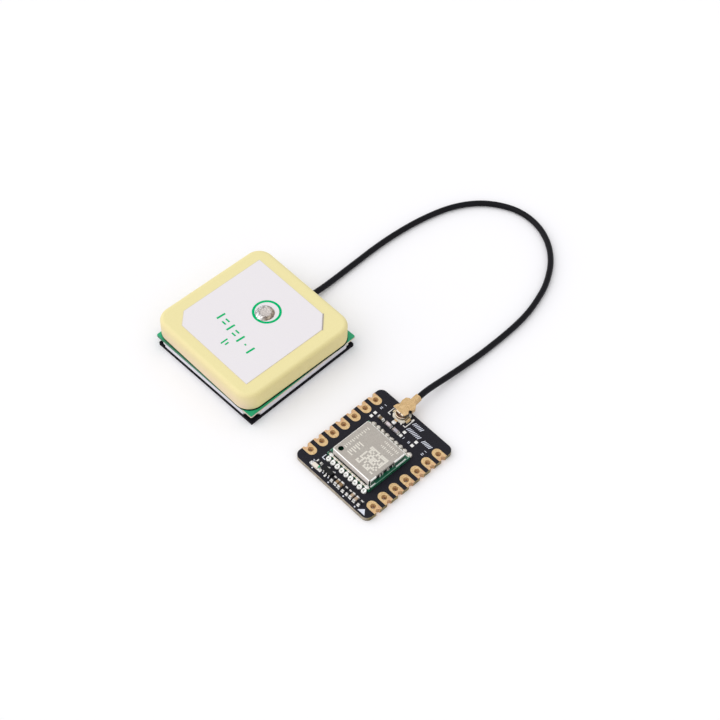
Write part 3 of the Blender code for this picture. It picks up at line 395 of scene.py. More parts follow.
def ribbon(points, width, low, thickness):
    # a flat strip along a line of points, mitred where it turns
    bm = bmesh.new()
    line = [Vector(point) for point in points]
    rows = []
    for index, point in enumerate(line):
        before = (point - line[index - 1]).normalized() if index else None
        after = (line[index + 1] - point).normalized() if index < len(line) - 1 else None
        ahead = ((before or after) + (after or before)).normalized()
        spread = width / 2 / max(0.4, ahead.dot(after or before))
        side = Vector((-ahead.y, ahead.x)) * spread
        rows.append((point + side, point - side))
    start = [bm.verts.new((*(corner * mm), low * mm)) for corner in rows[0]]
    edge = bm.edges.new(start)
    for row in rows[1:]:
        new = bmesh.ops.extrude_edge_only(bm, edges=[edge])["geom"]
        corners = sorted(vertsOf(new), key=lambda corner: (corner.co - start[0].co).length)
        for corner, spot in zip(corners, row):
            corner.co = (*(spot * mm), low * mm)
        edge = next(part for part in new if isinstance(part, bmesh.types.BMEdge))
        start = corners
    raised(bm, list(bm.faces), (0, 0, thickness))
    return bm


def meshOf(name, bm):
    mesh = bpy.data.meshes.new(name)
    bm.to_mesh(mesh)
    bm.free()
    return mesh


def joined(*solids):
    total = bmesh.new()
    for bm in solids:
        bmesh.ops.recalc_face_normals(bm, faces=bm.faces)
        mesh = meshOf("part", bm)
        total.from_mesh(mesh)
        bpy.data.meshes.remove(mesh)
    return total


def moved(bm, x=0.0, y=0.0, z=0.0, turn=0.0):
    shift = Matrix.Translation(Vector((x, y, z)) * mm) @ Matrix.Rotation(math.radians(turn), 4, "Z")
    bmesh.ops.transform(bm, matrix=shift, verts=bm.verts)
    return bm


def tilted(bm, angle, axis):
    matrix = Matrix.Rotation(math.radians(angle), 3, axis)
    bmesh.ops.rotate(bm, verts=bm.verts, cent=(0, 0, 0), matrix=matrix)
    return bm


def painted(bm, index, chosen=None):
    for face in bm.faces:
        if chosen is None or chosen(face):
            face.material_index = index
    return bm


def helper(bm):
    bmesh.ops.recalc_face_normals(bm, faces=bm.faces)
    return linked("helper", meshOf("helper", bm))


def settled(made):
    # the helper's mesh with its modifiers applied
    bpy.context.view_layer.update()
    graph = bpy.context.evaluated_depsgraph_get()
    bm = bmesh.new()
    bm.from_mesh(made.evaluated_get(graph).to_mesh())
    for item in [made] + [step.object for step in made.modifiers if step.type == "BOOLEAN"]:
        bpy.data.objects.remove(item)
    return bm


def cut(bm, *tools):
    made = helper(bm)
    for tool in tools:
        step = made.modifiers.new("cut", "BOOLEAN")
        step.operation = "DIFFERENCE"
        step.solver = "EXACT"
        step.object = helper(tool)
    return settled(made)


def thickened(bm, sheet):
    made = linked("helper", meshOf("helper", bm))
    step = made.modifiers.new("sheet", "SOLIDIFY")
    step.thickness = sheet * mm
    step.offset = -1
    step.use_even_offset = True
    return settled(made)


def addPiece(name, bm, finishes, nodes=(), crease=35, soft=0.0, flat=True):
    bmesh.ops.recalc_face_normals(bm, faces=bm.faces)
    mesh = meshOf(name, bm)
    for finish in finishes:
        mesh.materials.append(looks[finish])
    mesh.shade_smooth()
    mesh.set_sharp_from_angle(angle=math.radians(crease))
    piece = linked(name, mesh)
    if soft:
        edge = piece.modifiers.new("softEdge", "BEVEL")
        edge.width = soft * mm
        edge.segments = 2
        edge.limit_method = "ANGLE"
        edge.angle_limit = math.radians(crease)
    if flat:
        weighted = piece.modifiers.new("flatFaces", "WEIGHTED_NORMAL")
        weighted.keep_sharp = True
    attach(piece, "root")
    if nodes:
        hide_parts(*nodes)
    return piece


# Coaxial cable: out of the antenna's shield, round in a loop and up to the plug
cable = {
    "diameter": 1.13,
    "points": 220,
    "sideSteps": 5,
    "socket": (-2.1, 8.6),
    "route": (
        (-32.13, 10.3, 1.43), (-32.17, 11.8, 1.43), (-32.22, 13.3, 1.4), (-32.28, 15.2, 1.2),
        (-32.4, 18.0, 0.86), (-32.6, 21.5, 0.66), (-32.88, 27.16, 0.59), (-33.07, 32.3, 0.59),
        (-32.96, 37.4, 0.59), (-32.48, 42.5, 0.59), (-31.5, 47.4, 0.59), (-30.44, 50.5, 0.59),
        (-28.93, 53.3, 0.59), (-26.97, 55.65, 0.59), (-24.5, 57.5, 0.59), (-21.65, 58.75, 0.59),
        (-18.45, 59.1, 0.59), (-15.03, 58.45, 0.59), (-11.7, 56.75, 0.59), (-8.8, 54.2, 0.59),
        (-6.5, 51.0, 0.59), (-4.8, 47.5, 0.59), (-3.25, 42.2, 0.59), (-2.6, 37.0, 0.59),
    ),
    "toPlug": (
        (-0.32, 21.8, 0.59), (-0.4, 16.8, 0.74), (-0.52, 11.9, 1.13), (-0.56, 8.2, 1.65),
        (-0.46, 6.0, 2.04), (-0.33, 4.3, 2.16), (-0.23, 3.1, 2.16),
    ),
}


def smoothRoute():
    knots = [Vector(point) for point in cable["route"]]
    socketAt = Vector((*cable["socket"], 0))
    knots += [socketAt + Vector(point) for point in cable["toPlug"]]
    knots = [2 * knots[0] - knots[1]] + knots + [2 * knots[-1] - knots[-2]]
    fine = []
    for before, start, end, after in zip(knots, knots[1:], knots[2:], knots[3:]):
        for step in range(24):
            t = step / 24
            bend = 2 * before - 5 * start + 4 * end - after
            twist = 3 * start - 3 * end + after - before
            fine.append((2 * start + t * (end - before) + t * t * bend + t ** 3 * twist) / 2)
    fine.append(knots[-2])
    travelled = [0.0]
    for one, other in zip(fine, fine[1:]):
        travelled.append(travelled[-1] + (other - one).length)
    points = []
    index = 0
    for number in range(cable["points"]):
        wanted = travelled[-1] * number / (cable["points"] - 1)
        while index < len(fine) - 2 and travelled[index + 1] < wanted:
            index += 1
        share = (wanted - travelled[index]) / (travelled[index + 1] - travelled[index])
        points.append(fine[index].lerp(fine[index + 1], share) * mm)
    return points


def addCable():
    points = smoothRoute()
    curve = bpy.data.curves.new("antennaCable", "CURVE")
    curve.dimensions = "3D"
    curve.bevel_depth = cable["diameter"] / 2 * mm
    curve.bevel_resolution = cable["sideSteps"]
    curve.use_fill_caps = True
    line = curve.splines.new("POLY")
    line.points.add(len(points) - 1)
    for corner, point in zip(line.points, points):
        corner.co = (*point, 1)
    line.use_smooth = True
    curve.materials.append(looks["jacket"])
    piece = linked("antennaCable", curve)
    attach(piece, "root")
    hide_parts("antenna_cable")
    length = sum((other - one).length for one, other in zip(points, points[1:]))
    return piece, points[0], length


newLook(
    "jacket", colour=(10, 9, 15), shade=(2, 2, 5), grain=0.3, patch=4.0, specular=0.13,
    rough=(0.3, 0.44), stain=(20, 19, 28), stainAmount=0.35,
)
cablePiece, cableStart, cableLength = addCable()
print(f"cable is laid, {cableLength / mm:.2f} mm long")


# Carrier board
board = {
    "width": 17.7,
    "length": 20.5,
    "low": 0.03,
    "top": 1.0,
    "seat": 1.02,
    "corner": 1.2,
    "rim": 0.03,
    "film": (0.05, 0.07),
    "lowFilm": (0.03, 0.05),
    "milled": (0.5, 0.1),
}
pads = {
    "perSide": 7,
    "pitch": 2.54,
    "inset": 1.23,
    "width": 1.75,
    "reach": 2.4,
    "bore": 0.76,
    "notch": 0.86,
    "wall": 0.06,
    "mouth": 0.06,
    "proud": 0.03,
    "sunk": 0.04,
    "rim": 0.02,
    "brown": (0.42, 0.54),
    "worn": (8.0, 8.2),
}


def padSpots():
    middle = (pads["perSide"] - 1) / 2
    for side, turn in ((1, 0), (-1, 180)):
        for index in range(pads["perSide"]):
            yield side * board["width"] / 2, side * (index - middle) * pads["pitch"], turn


def boardLook():
    tree, shader, mask, fine, bump = newLook(
        "boardMask", colour=(34, 33, 42), shade=(12, 12, 18), grain=0.2, spread=0.13, patch=3.0,
        rough=(0.42, 0.58), bump=0.25, stain=(38, 37, 48), stainAmount=0.25, specular=0.16,
    )
    # the cut edge shows the laminate's layers between the two mask films
    layers = effect(tree, "streaks", Size_X=0.9, Size_Y=0.9, Size_Z=0.13, Spread=0.12)
    pits = effect(tree, "speckle", Size=0.16, Spread=0.12, Seed=2.0)
    core = blendColour(tree, layers, srgb(104, 95, 80), srgb(178, 166, 147))
    core = blendColour(tree, times(tree, pits, 0.4), core, srgb(200, 191, 176))
    # painted shade: the long sides are painted a darker laminate, standing for the shade on the side
    # away from the lamps
    side = unsigned(tree, objectAxes(tree)["X"])
    start, full = [(board["width"] / 2 - depth) * mm for depth in board["milled"]]
    milled = between(tree, side, start, full)
    dark = blendColour(tree, layers, srgb(88, 74, 44), srgb(160, 146, 104))
    core = blendColour(tree, milled, core, dark)
    height = objectAxes(tree)["Z"]
    thin, thick = [(board["top"] - depth) * mm for depth in board["film"]]
    under = between(tree, height, thick, thin, 1.0, 0.0)
    thin, thick = [(board["low"] + depth) * mm for depth in board["lowFilm"]]
    over = between(tree, height, thin, thick)
    cutFace = times(tree, effect(tree, "sideways"), times(tree, under, over))
    wire(tree, shader.inputs["Base Color"], blendColour(tree, cutFace, mask, core))
    relief = plus(tree, times(tree, fine, 0.6), effect(tree, "weave", "Height", Depth=0.2))
    wire(tree, bump.inputs["Height"], relief)


def addBoard():
    boardLook()
    thickness = board["top"] - board["low"]
    size = (board["width"], board["length"], thickness)
    base = block(size, low=board["low"], corner=board["corner"], cornerSteps=12)
    tools = []
    for x, y, turn in padSpots():
        for spot, hole in ((-pads["inset"], pads["bore"]), (0, pads["notch"])):
            radius = hole / 2 + pads["wall"] * 0.7
            tools.append(moved(disc(radius, -1, 2, spot), x, y, turn=turn))
    base = cut(base, joined(*tools))
    addPiece("carrierBoard", base, ["boardMask"], ["carrier_board"], soft=board["rim"])


def padLook():
    # the pad edges get a painted highlight
    tree, shader, gold, *_ = newLook(
        "padGold", colour=(230, 202, 156), shade=(192, 158, 108), grain=0.26, spread=0.16, patch=1.2,
        rough=(0.3, 0.46), bump=0.3, metal=0.9, stain=(206, 172, 128), edgeHighlight=(250, 232, 190),
        edgeHighlightRadius=0.07, edgeHighlightAmount=0.6,
    )
    # painted shade: the plating is painted darker round each hole, where the hole's mouth falls into
    # shade
    where = objectAxes(tree)
    across = minus(tree, unsigned(tree, where["X"]), (board["width"] / 2 - pads["inset"]) * mm)
    along = maths(tree, "PINGPONG", where["Y"], pads["pitch"] / 2 * mm)
    start, end = [reach * mm for reach in pads["brown"]]
    ring = between(tree, distance(tree, across, along), start, end, 1.0, 0.0)
    gold = blendColour(tree, ring, gold, srgb(128, 88, 46))
    # the outer end is mottled where the half hole was cut
    start, end = [reach * mm for reach in pads["worn"]]
    outer = between(tree, unsigned(tree, where["X"]), start, end)
    spots = effect(tree, "speckle", Size=0.34, Spread=0.08, Seed=8.0)
    mottled = times(tree, outer, times(tree, spots, 0.75))
    wire(tree, shader.inputs["Base Color"], blendColour(tree, mottled, gold, srgb(206, 160, 128)))
    # the holes' walls are a paler, matt copy of the pad gold: painted light inside the holes
    newLook(
        "boreGoldPaintedLight", colour=(254, 232, 186), shade=(204, 156, 106), grain=0.14, spread=0.12, patch=0.4,
        rough=(0.42, 0.6), bump=0.3, stain=(190, 140, 92), stainAmount=0.6,
    )


def padSolid():
    top, inset, wall = board["top"], pads["inset"], pads["wall"]
    bore, notch = pads["bore"] / 2, pads["notch"] / 2
    plates = []
    for low, high in ((top - pads["sunk"], top + pads["proud"]), (0.0, wall)):
        face = block((pads["reach"], pads["width"], high - low), -pads["reach"] / 2, 0, low)
        inner = [edge for edge in uprightEdges(face) if edge.verts[0].co.x < -1 * mm]
        bevel(face, inner, pads["width"] / 2 - 0.002, 12)
        plates.append(face)
    plates = cut(joined(*plates), joined(disc(bore, -1, 2, -inset), disc(notch, -1, 2)))
    middle = Vector((-inset * mm, 0))
    mouth = []
    for edge in levelEdges(plates, top + pads["proud"]):
        if all((corner.co.xy - middle).length < (bore + 0.01) * mm for corner in edge.verts):
            mouth.append(edge)
    bevel(plates, mouth, pads["mouth"], 3)
    sleeve = tube(bore, bore + wall, board["low"], top, 24, -inset)
    # the sleeve's inside takes the paler bore finish, painted light
    painted(sleeve, 1, lambda face: (face.calc_center_median().xy - middle).length < (bore + 0.02) * mm)
    half = halved(tube(notch, notch + wall, board["low"], top, 24), (0, 0, 0), (1, 0, 0))
    return joined(plates, sleeve, painted(half, 2))


def addPads():
    padLook()
    pattern = padSolid()
    finishes = ["padGold", "boreGoldPaintedLight", "padGold"]
    for number, (x, y, turn) in enumerate(padSpots(), 1):
        solid = moved(pattern.copy(), x, y, turn=turn)
        nodes = [f"edge_pad_{number:02}"]
        addPiece(f"edgePad{number:02}", solid, finishes, nodes, soft=pads["rim"])
    pattern.free()


addBoard()
addPads()
print("board and its pads are made")


# Print, tracks and bare tinned pads on the board
marks = {
    "thickness": 0.014,
    "dots": ((-4.75, -9.9), (-0.8, -9.9), (2.85, -9.9), (5.6, -9.9)),
    "dotRadius": 0.14,
    "dashes": (
        (-5.62, 8.12, 0.44, 0.1), (-5.72, 7.34, 0.42, 0.13), (-5.72, 7.04, 0.42, 0.13),
        (5.83, 6.4, 0.44, 0.1), (5.8, 5.78, 0.42, 0.13), (5.8, 5.48, 0.42, 0.13),
        (-5.62, -8.58, 0.4, 0.12), (-5.58, -8.84, 0.2, 0.12),
        (1.34, 5.62, 0.1, 0.5), (2.44, 5.62, 0.1, 0.5), (2.66, 5.62, 0.1, 0.5),
    ),
    "bracket": ((-5.1, -6.35), (-5.12, -7.22), (-4.45, -7.25)),
    "arrow": ((6.25, -9.9), (7.92, -9.9), (7.1, -8.97)),
    "hatches": ((0.55, 2.35, 9.0), (0.55, 3.15, 7.54), (4.15, 5.85, 7.54)),
    "hatch": (0.15, 0.8, 0.36, -24),
    "line": 0.16,
}
tinned = {
    "spots": ((-5.7, 5.68), (-5.68, 4.74), (0.64, 5.6), (0.62, 6.54), (3.42, 5.58), (3.42, 6.56)),
    "side": 0.56,
    "height": 0.06,
}
tracks = {
    "width": 0.2,
    "relief": 0.014,
    "near": (
        ((-4.28, -7.0), (-4.28, -7.5), (-6.3, -7.62)), ((-3.18, -7.0), (-3.18, -7.8), (-3.9, -8.32)),
        ((-0.98, -7.0), (-0.98, -7.9), (-0.62, -8.3)), ((0.12, -7.0), (0.12, -7.9), (0.28, -8.3)),
        ((1.22, -7.0), (1.22, -8.3)), ((2.32, -7.0), (2.32, -8.3)),
        ((3.42, -7.0), (3.9, -7.7), (3.88, -8.3)),
        ((4.52, -7.0), (4.8, -7.6), (4.8, -8.3)), ((5.3, -7.3), (6.4, -7.3), (6.8, -7.62)),
    ),
    "far": (
        ((-4.28, 4.0), (-4.28, 4.6), (-5.58, 4.75)), ((-3.18, 4.0), (-3.18, 4.7), (-4.8, 5.5)),
        ((-2.08, 4.0), (-2.08, 4.7), (-2.9, 5.3)), ((0.12, 4.0), (0.12, 4.9), (0.67, 5.4)),
        ((2.32, 4.0), (2.32, 4.8), (3.42, 5.4)), ((3.42, 4.0), (4.4, 4.9), (6.4, 5.08)),
        ((4.52, 4.0), (5.3, 4.0), (6.4, 2.6)), ((-1.2, 5.58), (-1.8, 5.58)), ((0.67, 5.7), (0.67, 6.4)),
    ),
    "vias": (
        (-6.6, -9.1), (-6.2, 7.2), (6.3, 9.0), (7.2, 9.3), (-7.1, 9.4), (4.6, 9.3), (5.2, 5.9),
        (1.6, 6.3), (-3.4, 7.1), (6.1, -6.2), (-6.1, -6.0), (-6.0, 3.4), (5.9, 3.6), (-5.9, 0.2),
        (6.0, 0.0), (4.5, 4.9),
    ),
    "viaRadius": 0.3,
}


def printLook():
    newLook(
        "boardPrint", colour=(232, 234, 242), shade=(204, 208, 222), grain=0.12, spread=0.16, patch=0.8,
        rough=(0.5, 0.62), stain=(214, 220, 238),
    )
    newLook(
        "tin", colour=(244, 243, 242), shade=(188, 186, 184), grain=0.3, spread=0.16, patch=0.7,
        rough=(0.16, 0.34), bump=0.4, metal=0.55, stain=(176, 168, 160), stainAmount=0.4,
    )
    newLook(
        "bareTin", colour=(252, 252, 251), shade=(226, 225, 223), grain=0.22, spread=0.16, patch=0.5,
        rough=(0.2, 0.34), bump=0.3, metal=0.3, stain=(214, 210, 204), stainAmount=0.3,
    )


def hatching(start, end, middle):
    wide, tall, pitch, lean = marks["hatch"]
    count = round((end - start) / pitch)
    parts = []
    for index in range(count + 1):
        stroke = tilted(block((wide, tall, marks["thickness"])), lean, "Z")
        parts.append(moved(stroke, start + (end - start) * index / count, middle, board["top"]))
    return parts


def addPrint():
    printLook()
    low = board["top"]
    high = low + marks["thickness"]
    parts = [disc(marks["dotRadius"], low, high, x, y, 16) for x, y in marks["dots"]]
    parts.append(ribbon(marks["bracket"], marks["line"], low, marks["thickness"]))
    parts.append(plate(marks["arrow"], low, high))
    for hatch in marks["hatches"]:
        parts += hatching(*hatch)
    for x, y, wide, tall in marks["dashes"]:
        parts.append(block((wide, tall, marks["thickness"]), x, y, low))
    addPiece("boardPrint", joined(*parts), ["boardPrint"])

    parts = []
    for line in tracks["near"] + tracks["far"]:
        parts.append(ribbon(line, tracks["width"], low - 0.001, tracks["relief"]))
    for x, y in tracks["vias"]:
        out = tracks["viaRadius"]
        rise = low + tracks["relief"]
        ring = [(0.1, low - 0.02), (out, low - 0.02), (out - 0.02, rise), (0.16, rise), (0.1, low)]
        parts.append(turned(ring, 16, x, y))
    addPiece("boardTracks", joined(*parts), ["boardMask"])

    parts = []
    for x, y in tinned["spots"]:
        size = (tinned["side"], tinned["side"], tinned["height"])
        parts.append(block(size, x, y, low, corner=0.05, cornerSteps=3, rim=0.03, rimSteps=2))
    addPiece("tinnedPads", joined(*parts), ["bareTin"])


addPrint()
print("print, tracks and tinned pads are made")


# Receiver module: board, castellations, solder joints
module = {
    "x": 0.12,
    "y": -1.5,
    "width": 10.1,
    "length": 9.7,
    "low": 1.02,
    "thickness": 0.8,
    "joints": 9,
    "pitch": 1.072,
    "jointsX": 0.23,
    "notch": 0.24,
    "land": (0.98, 0.33),
    "foot": (-6.03, -5.99, -5.7),
}


def jointSpots():
    middle = (module["joints"] - 1) / 2
    for side in (-1, 1):
        edge = module["y"] + side * module["length"] / 2
        for index in range(module["joints"]):
            yield module["jointsX"] + (index - middle) * module["pitch"], edge, side


def moduleLooks():
    # the edges get a painted pale highlight
    tree, shader, mask, *_ = newLook(
        "moduleMask", colour=(14, 98, 68), shade=(4, 74, 50), grain=0.22, spread=0.16, patch=1.6,
        rough=(0.3, 0.45), stain=(24, 114, 82), stainAmount=0.35, edgeHighlight=(186, 214, 202), edgeHighlightRadius=0.07,
        edgeHighlightAmount=0.75,
    )
    # painted shadow along the foot of the shield's near wall, mottled dark green
    where = objectAxes(tree)
    start, full, end = module["foot"]
    rise = between(tree, where["Y"], start * mm, full * mm)
    fall = between(tree, where["Y"], end * mm, full * mm)
    foot = maths(tree, "GREATER_THAN", times(tree, rise, fall), 0.001)
    # painted highlight: a pale line along the rim of the top face
    out = offMiddle(tree, where["X"], module["x"])
    half = module["width"] / 2
    rim = between(tree, out, (half - 0.14) * mm, (half - 0.09) * mm, 0.0, 0.7)
    mask = blendColour(tree, rim, mask, srgb(134, 178, 160))
    shadowMottle = effect(tree, "speckle", Size=0.3, Spread=0.1, Seed=6.0)
    mask = blendColour(tree, foot, mask, blendColour(tree, shadowMottle, srgb(2, 8, 6), srgb(6, 36, 24)))
    layers = effect(tree, "streaks", Size_X=0.7, Size_Y=0.7, Size_Z=0.1, Spread=0.12)
    core = blendColour(tree, layers, srgb(2, 66, 44), srgb(34, 104, 74))
    wire(tree, shader.inputs["Base Color"], blendColour(tree, effect(tree, "sideways"), mask, core))
    newLook(
        "castellation", colour=(242, 230, 208), shade=(206, 186, 150), grain=0.18, patch=0.5,
        rough=(0.28, 0.42), bump=0.3, metal=0.6, stain=(244, 240, 236), stainAmount=0.8,
    )
    newLook(
        "solder", colour=(248, 247, 245), shade=(206, 205, 202), grain=0.36, patch=0.6,
        rough=(0.1, 0.26), bump=0.5, metal=0.5, stain=(180, 182, 176), stainAmount=0.3,
    )
    # a darker copy of the solder for the joints' cups: painted shade
    newLook(
        "solderCupShade", colour=(176, 178, 172), shade=(96, 98, 92), grain=0.2, spread=0.12, patch=0.4,
        rough=(0.2, 0.4), bump=0.6, metal=0.6,
    )
    # a duller copy of the solder for the far joints and lands: painted shade
    newLook(
        "solderPaintedShade", colour=(222, 217, 208), shade=(178, 172, 164), grain=0.3, patch=0.5,
        rough=(0.26, 0.4), bump=0.5, metal=0.8, stain=(240, 237, 230),
    )


def addModuleBoard():
    low, top = module["low"], module["low"] + module["thickness"]
    size = (module["width"], module["length"], module["thickness"])
    base = block(size, module["x"], module["y"], low)
    holes = [disc(module["notch"], 0, 3, x, edge, 16) for x, edge, side in jointSpots()]
    base = cut(base, joined(*holes))
    addPiece("moduleBoard", base, ["moduleMask"], ["module_board"], soft=0.02)
    parts = []
    wide, deep = module["land"]
    inside, outside = module["notch"] - 0.03, module["notch"] + 0.01
    for x, edge, side in jointSpots():
        land = block((wide, deep, 0.02), x, edge - side * deep / 2, top)
        land = cut(land, disc(inside, 0, 3, x, edge, 16))
        wall = tube(inside, outside, low + 0.01, top + 0.01, 16, x, edge)
        wall = halved(wall, (0, edge * mm, 0), (0, side, 0))
        # the far lands take the duller solder copy, painted shade
        index = 0 if side < 0 else 1
        parts += [painted(land, index), painted(wall, index)]
    finishes = ["castellation", "solderPaintedShade"]
    addPiece("moduleCastellations", joined(*parts), finishes, soft=0.01)


joint = {
    "near": (
        (0, 0), (0.46, 0), (0.52, 0.06), (0.5, 0.26), (0.43, 0.4), (0.34, 0.44), (0.22, 0.41),
        (0.1, 0.35), (0, 0.34),
    ),
    "far": (
        (0, 0), (0.46, 0), (0.51, 0.08), (0.5, 0.34), (0.44, 0.56), (0.32, 0.7), (0.16, 0.77),
        (0, 0.78),
    ),
    "reach": 0.46,
    "cup": 0.14,
    "nearOut": 0.44,
    "farOut": 0.36,
    "farShift": 0.05,
    "nearLean": 0.7,
    "farLean": 0.1,
    "last": (1.12, 1.12, 1.05),
    "top": 0.84,
}
climb = {
    "profile": ((0, 0), (0.24, 0), (0.27, 0.02), (0.22, 0.05), (0.1, 0.07), (0, 0.075)),
    "last": (1.5, 0.22),
    "other": (1.1, 0.1),
}


def jointSolid(number, x, edge, side):
    # near side: a bright ring with a dull cup, drawn up to the module. Far side: full round fillets.
    # The cup and the far side are darker copies of the solder, painted shade
    near = side < 0
    bm = turned(joint["near" if near else "far"], 24)
    painted(bm, 0 if near else 2)
    if near:
        painted(bm, 1, lambda face: face.calc_center_median().xy.length < joint["cup"] * mm)
    lean = joint["nearLean" if near else "farLean"] + 0.2 * noise.noise(Vector((number * 3.7, side, 0)))
    for corner in bm.verts:
        inward = -side * corner.co.y / (joint["reach"] * mm)
        corner.co.z *= 1 + lean * inward if inward > 0 else 1 + 0.2 * inward
        ripple = noise.noise(Vector(corner.co) / (0.35 * mm) + Vector((number * 5.1, side * 9, 0)))
        if corner.co.z > 0.03 * mm:
            corner.co += Vector(corner.co) * ripple * (0.1 if near else 0.14)
        corner.co.z = min(corner.co.z, joint["top"] * mm)
    if not near and number == 2 * module["joints"] - 1:
        bmesh.ops.scale(bm, verts=bm.verts, vec=joint["last"])
    out = joint["nearOut"] if near else joint["farOut"]
    return moved(bm, x + (0 if near else joint["farShift"]), edge + side * out, module["low"] - 0.02)


def climbSolid(number, x, edge, side):
    # solder that has run up the half hole and over the land
    bm = turned(climb["profile"], 16)
    last = number in (0, module["joints"] - 1)
    wide, inward = climb["last" if last else "other"]
    long = 1.4 if last else 0.7 + 0.3 * noise.noise(Vector((number * 2.3, 4.0, 0)))
    bmesh.ops.scale(bm, verts=bm.verts, vec=(wide, long, 1.0))
    return moved(bm, x, edge - side * inward, module["low"] + module["thickness"] + 0.01)


def addJoints():
    parts = []
    top = module["low"] + module["thickness"] - 0.02
    for number, (x, edge, side) in enumerate(jointSpots()):
        parts.append(jointSolid(number, x, edge, side))
        if side < 0:
            parts.append(climbSolid(number, x, edge, side))
        # solder inside the half hole itself
        parts.append(disc(module["notch"] - 0.04, module["low"], top, x, edge + side * 0.08, 14))
    finishes = ["solder", "solderCupShade", "solderPaintedShade"]
    piece = addPiece("solderJoints", joined(*parts), finishes, crease=60, flat=False)
    smooth = piece.modifiers.new("smooth", "SUBSURF")
    smooth.levels = 1
    smooth.render_levels = 1


moduleLooks()
addModuleBoard()
addJoints()
print("receiver module's board is soldered")


# Receiver module's shield
lid = {
    "x": 0.2,
    "y": -1.58,
    "width": 9.1,
    "length": 8.35,
    "height": 1.38,
    "low": 1.84,
    "sheet": 0.12,
    "bend": 0.2,
    "slit": 0.03,
    "markHole": (-3.3, -4.71, 0.5),
    "window": (4.15, -2.1, 3.08),
    "windowDepth": 0.29,
    "foot": ((0.2, 2.45), (-5.75, -4.6)),
    "footSize": (0.21, 0.06),
    "strip": (2.15, 2.05),
    "mirror": (2.7, 2.86),
}
etched = {
    "thickness": 0.006,
    "stroke": 0.16,
    "scales": ((-3.05, 1.42, 0.44, 13, 0.6, 0.36, 0.17), (-1.6, -1.62, 0.44, 7, 1.2, 0.64, 0.22)),
    "rows": ((0.8, 1.62, 9), (0.9, 0.68, 8)),
    "rowPitch": 0.37,
    "rowTall": (0.26, 0.5, 0.5),
    "field": (0.11, -4.38, 12, 0.335),
    "square": 0.31,
    "share": 0.6,
    "seed": 11,
}


def foldedCan(spec, steps, facesDown):
    bm = bmesh.new()
    bmesh.ops.create_grid(bm, x_segments=3, y_segments=3, size=0.5)
    for corner in bm.verts:
        for axis, name in enumerate(("width", "length")):
            half = (spec[name] / 2 - spec["bend"]) * mm
            inner = half - spec["slit"] * mm
            reach = half if abs(corner.co[axis]) > 0.4 else inner
            corner.co[axis] = math.copysign(reach, corner.co[axis])
    corners = [face for face in bm.faces if min(abs(v) for v in face.calc_center_median().xy) > 1 * mm]
    bmesh.ops.delete(bm, geom=corners, context="FACES")
    sides = []
    for edge in bm.edges:
        middle = (edge.verts[0].co + edge.verts[1].co) / 2
        for axis, name in enumerate(("width", "length")):
            if abs(abs(middle[axis]) - (spec[name] / 2 - spec["bend"]) * mm) < 0.001 * mm:
                across = Vector((0, 0, 0))
                across[axis] = math.copysign(1, middle[axis])
                sides.append((edge, across))
    for edge, across in sides:
        if not edge.is_boundary:
            continue
        last = 0.0
        for step in range(1, steps + 1):
            turn = math.pi / 2 * step / steps
            move = across * spec["bend"] * (math.sin(turn) - math.sin(last))
            move.z = spec["bend"] * (math.cos(last) - math.cos(turn))
            edge = drawnEdge(bm, edge, move)
            last = turn
        drawnEdge(bm, edge, Vector((0, 0, spec["height"] - spec["bend"])))
    if facesDown:
        tilted(bm, 180, "X")
    bmesh.ops.recalc_face_normals(bm, faces=bm.faces)
    bm.faces.ensure_lookup_table()
    floor = min(bm.faces, key=lambda face: face.calc_center_median().length)
    if (floor.normal.z > 0) != facesDown:
        bmesh.ops.reverse_faces(bm, faces=bm.faces)
    return thickened(bm, spec["sheet"])


def drawnEdge(bm, edge, move):
    new = bmesh.ops.extrude_edge_only(bm, edges=[edge])["geom"]
    bmesh.ops.translate(bm, verts=vertsOf(new), vec=move * mm)
    return next(part for part in new if isinstance(part, bmesh.types.BMEdge))


def lidLooks():
    tree, shader, metal, fine, _ = newLook(
        "lidMetal", colour=(188, 183, 176), shade=(150, 145, 138), grain=0.13, spread=0.13, patch=2.4,
        rough=(0.36, 0.46), bump=0.3, metal=1.0, stain=(168, 160, 153),
    )
    rolled = effect(tree, "streaks", Size_X=2.2, Size_Y=0.07, Size_Z=0.5, Spread=0.2)
    streaked = blendColour(tree, times(tree, rolled, 0.25), metal, srgb(196, 190, 182))
    # painted light: the folded walls are painted paler than the blasted top, for the light they
    # reflect, and the bends get a painted highlight
    wallLight = blendColour(tree, fine, srgb(200, 190, 184), srgb(230, 222, 218))
    facing = normalAxes(tree)
    rightWall = between(tree, facing["X"], 0.5, 0.8)
    # painted reflection: the right wall is painted with the green board's mirror image low down and
    # white above
    start, end = [height * mm for height in lid["mirror"]]
    height = between(tree, objectAxes(tree)["Z"], start, end)
    mirror = blendColour(tree, height, srgb(30, 80, 62), srgb(255, 254, 252))
    wallLight = blendColour(tree, rightWall, wallLight, mirror)
    upright = effect(tree, "sideways")
    rise = facing["Z"]
    bend = times(tree, between(tree, rise, 0.1, 0.35), between(tree, rise, 0.985, 0.94))
    # over the cut-out only a thin grey strip of the wall is left
    away = offMiddle(tree, objectAxes(tree)["Y"], lid["window"][1])
    start, end = [reach * mm for reach in lid["strip"]]
    strip = between(tree, away, start, end)
    strip = times(tree, strip, between(tree, facing["X"], 0.2, 0.35))
    bend = times(tree, bend, minus(tree, 1.0, strip))
    faces = blendColour(tree, upright, streaked, wallLight)
    faces = blendColour(tree, strip, faces, srgb(128, 124, 118))
    wire(tree, shader.inputs["Base Color"], blendColour(tree, bend, faces, srgb(255, 254, 251)))
    folded = maths(tree, "MAXIMUM", upright, bend)
    wire(tree, shader.inputs["Metallic"], between(tree, folded, 0.0, 1.0, 1.0, 0.2))
    newLook(
        "lidEtch", colour=(234, 230, 221), shade=(210, 205, 194), grain=0.1, patch=0.6,
        rough=(0.5, 0.62), bump=0.35, metal=0.1,
    )


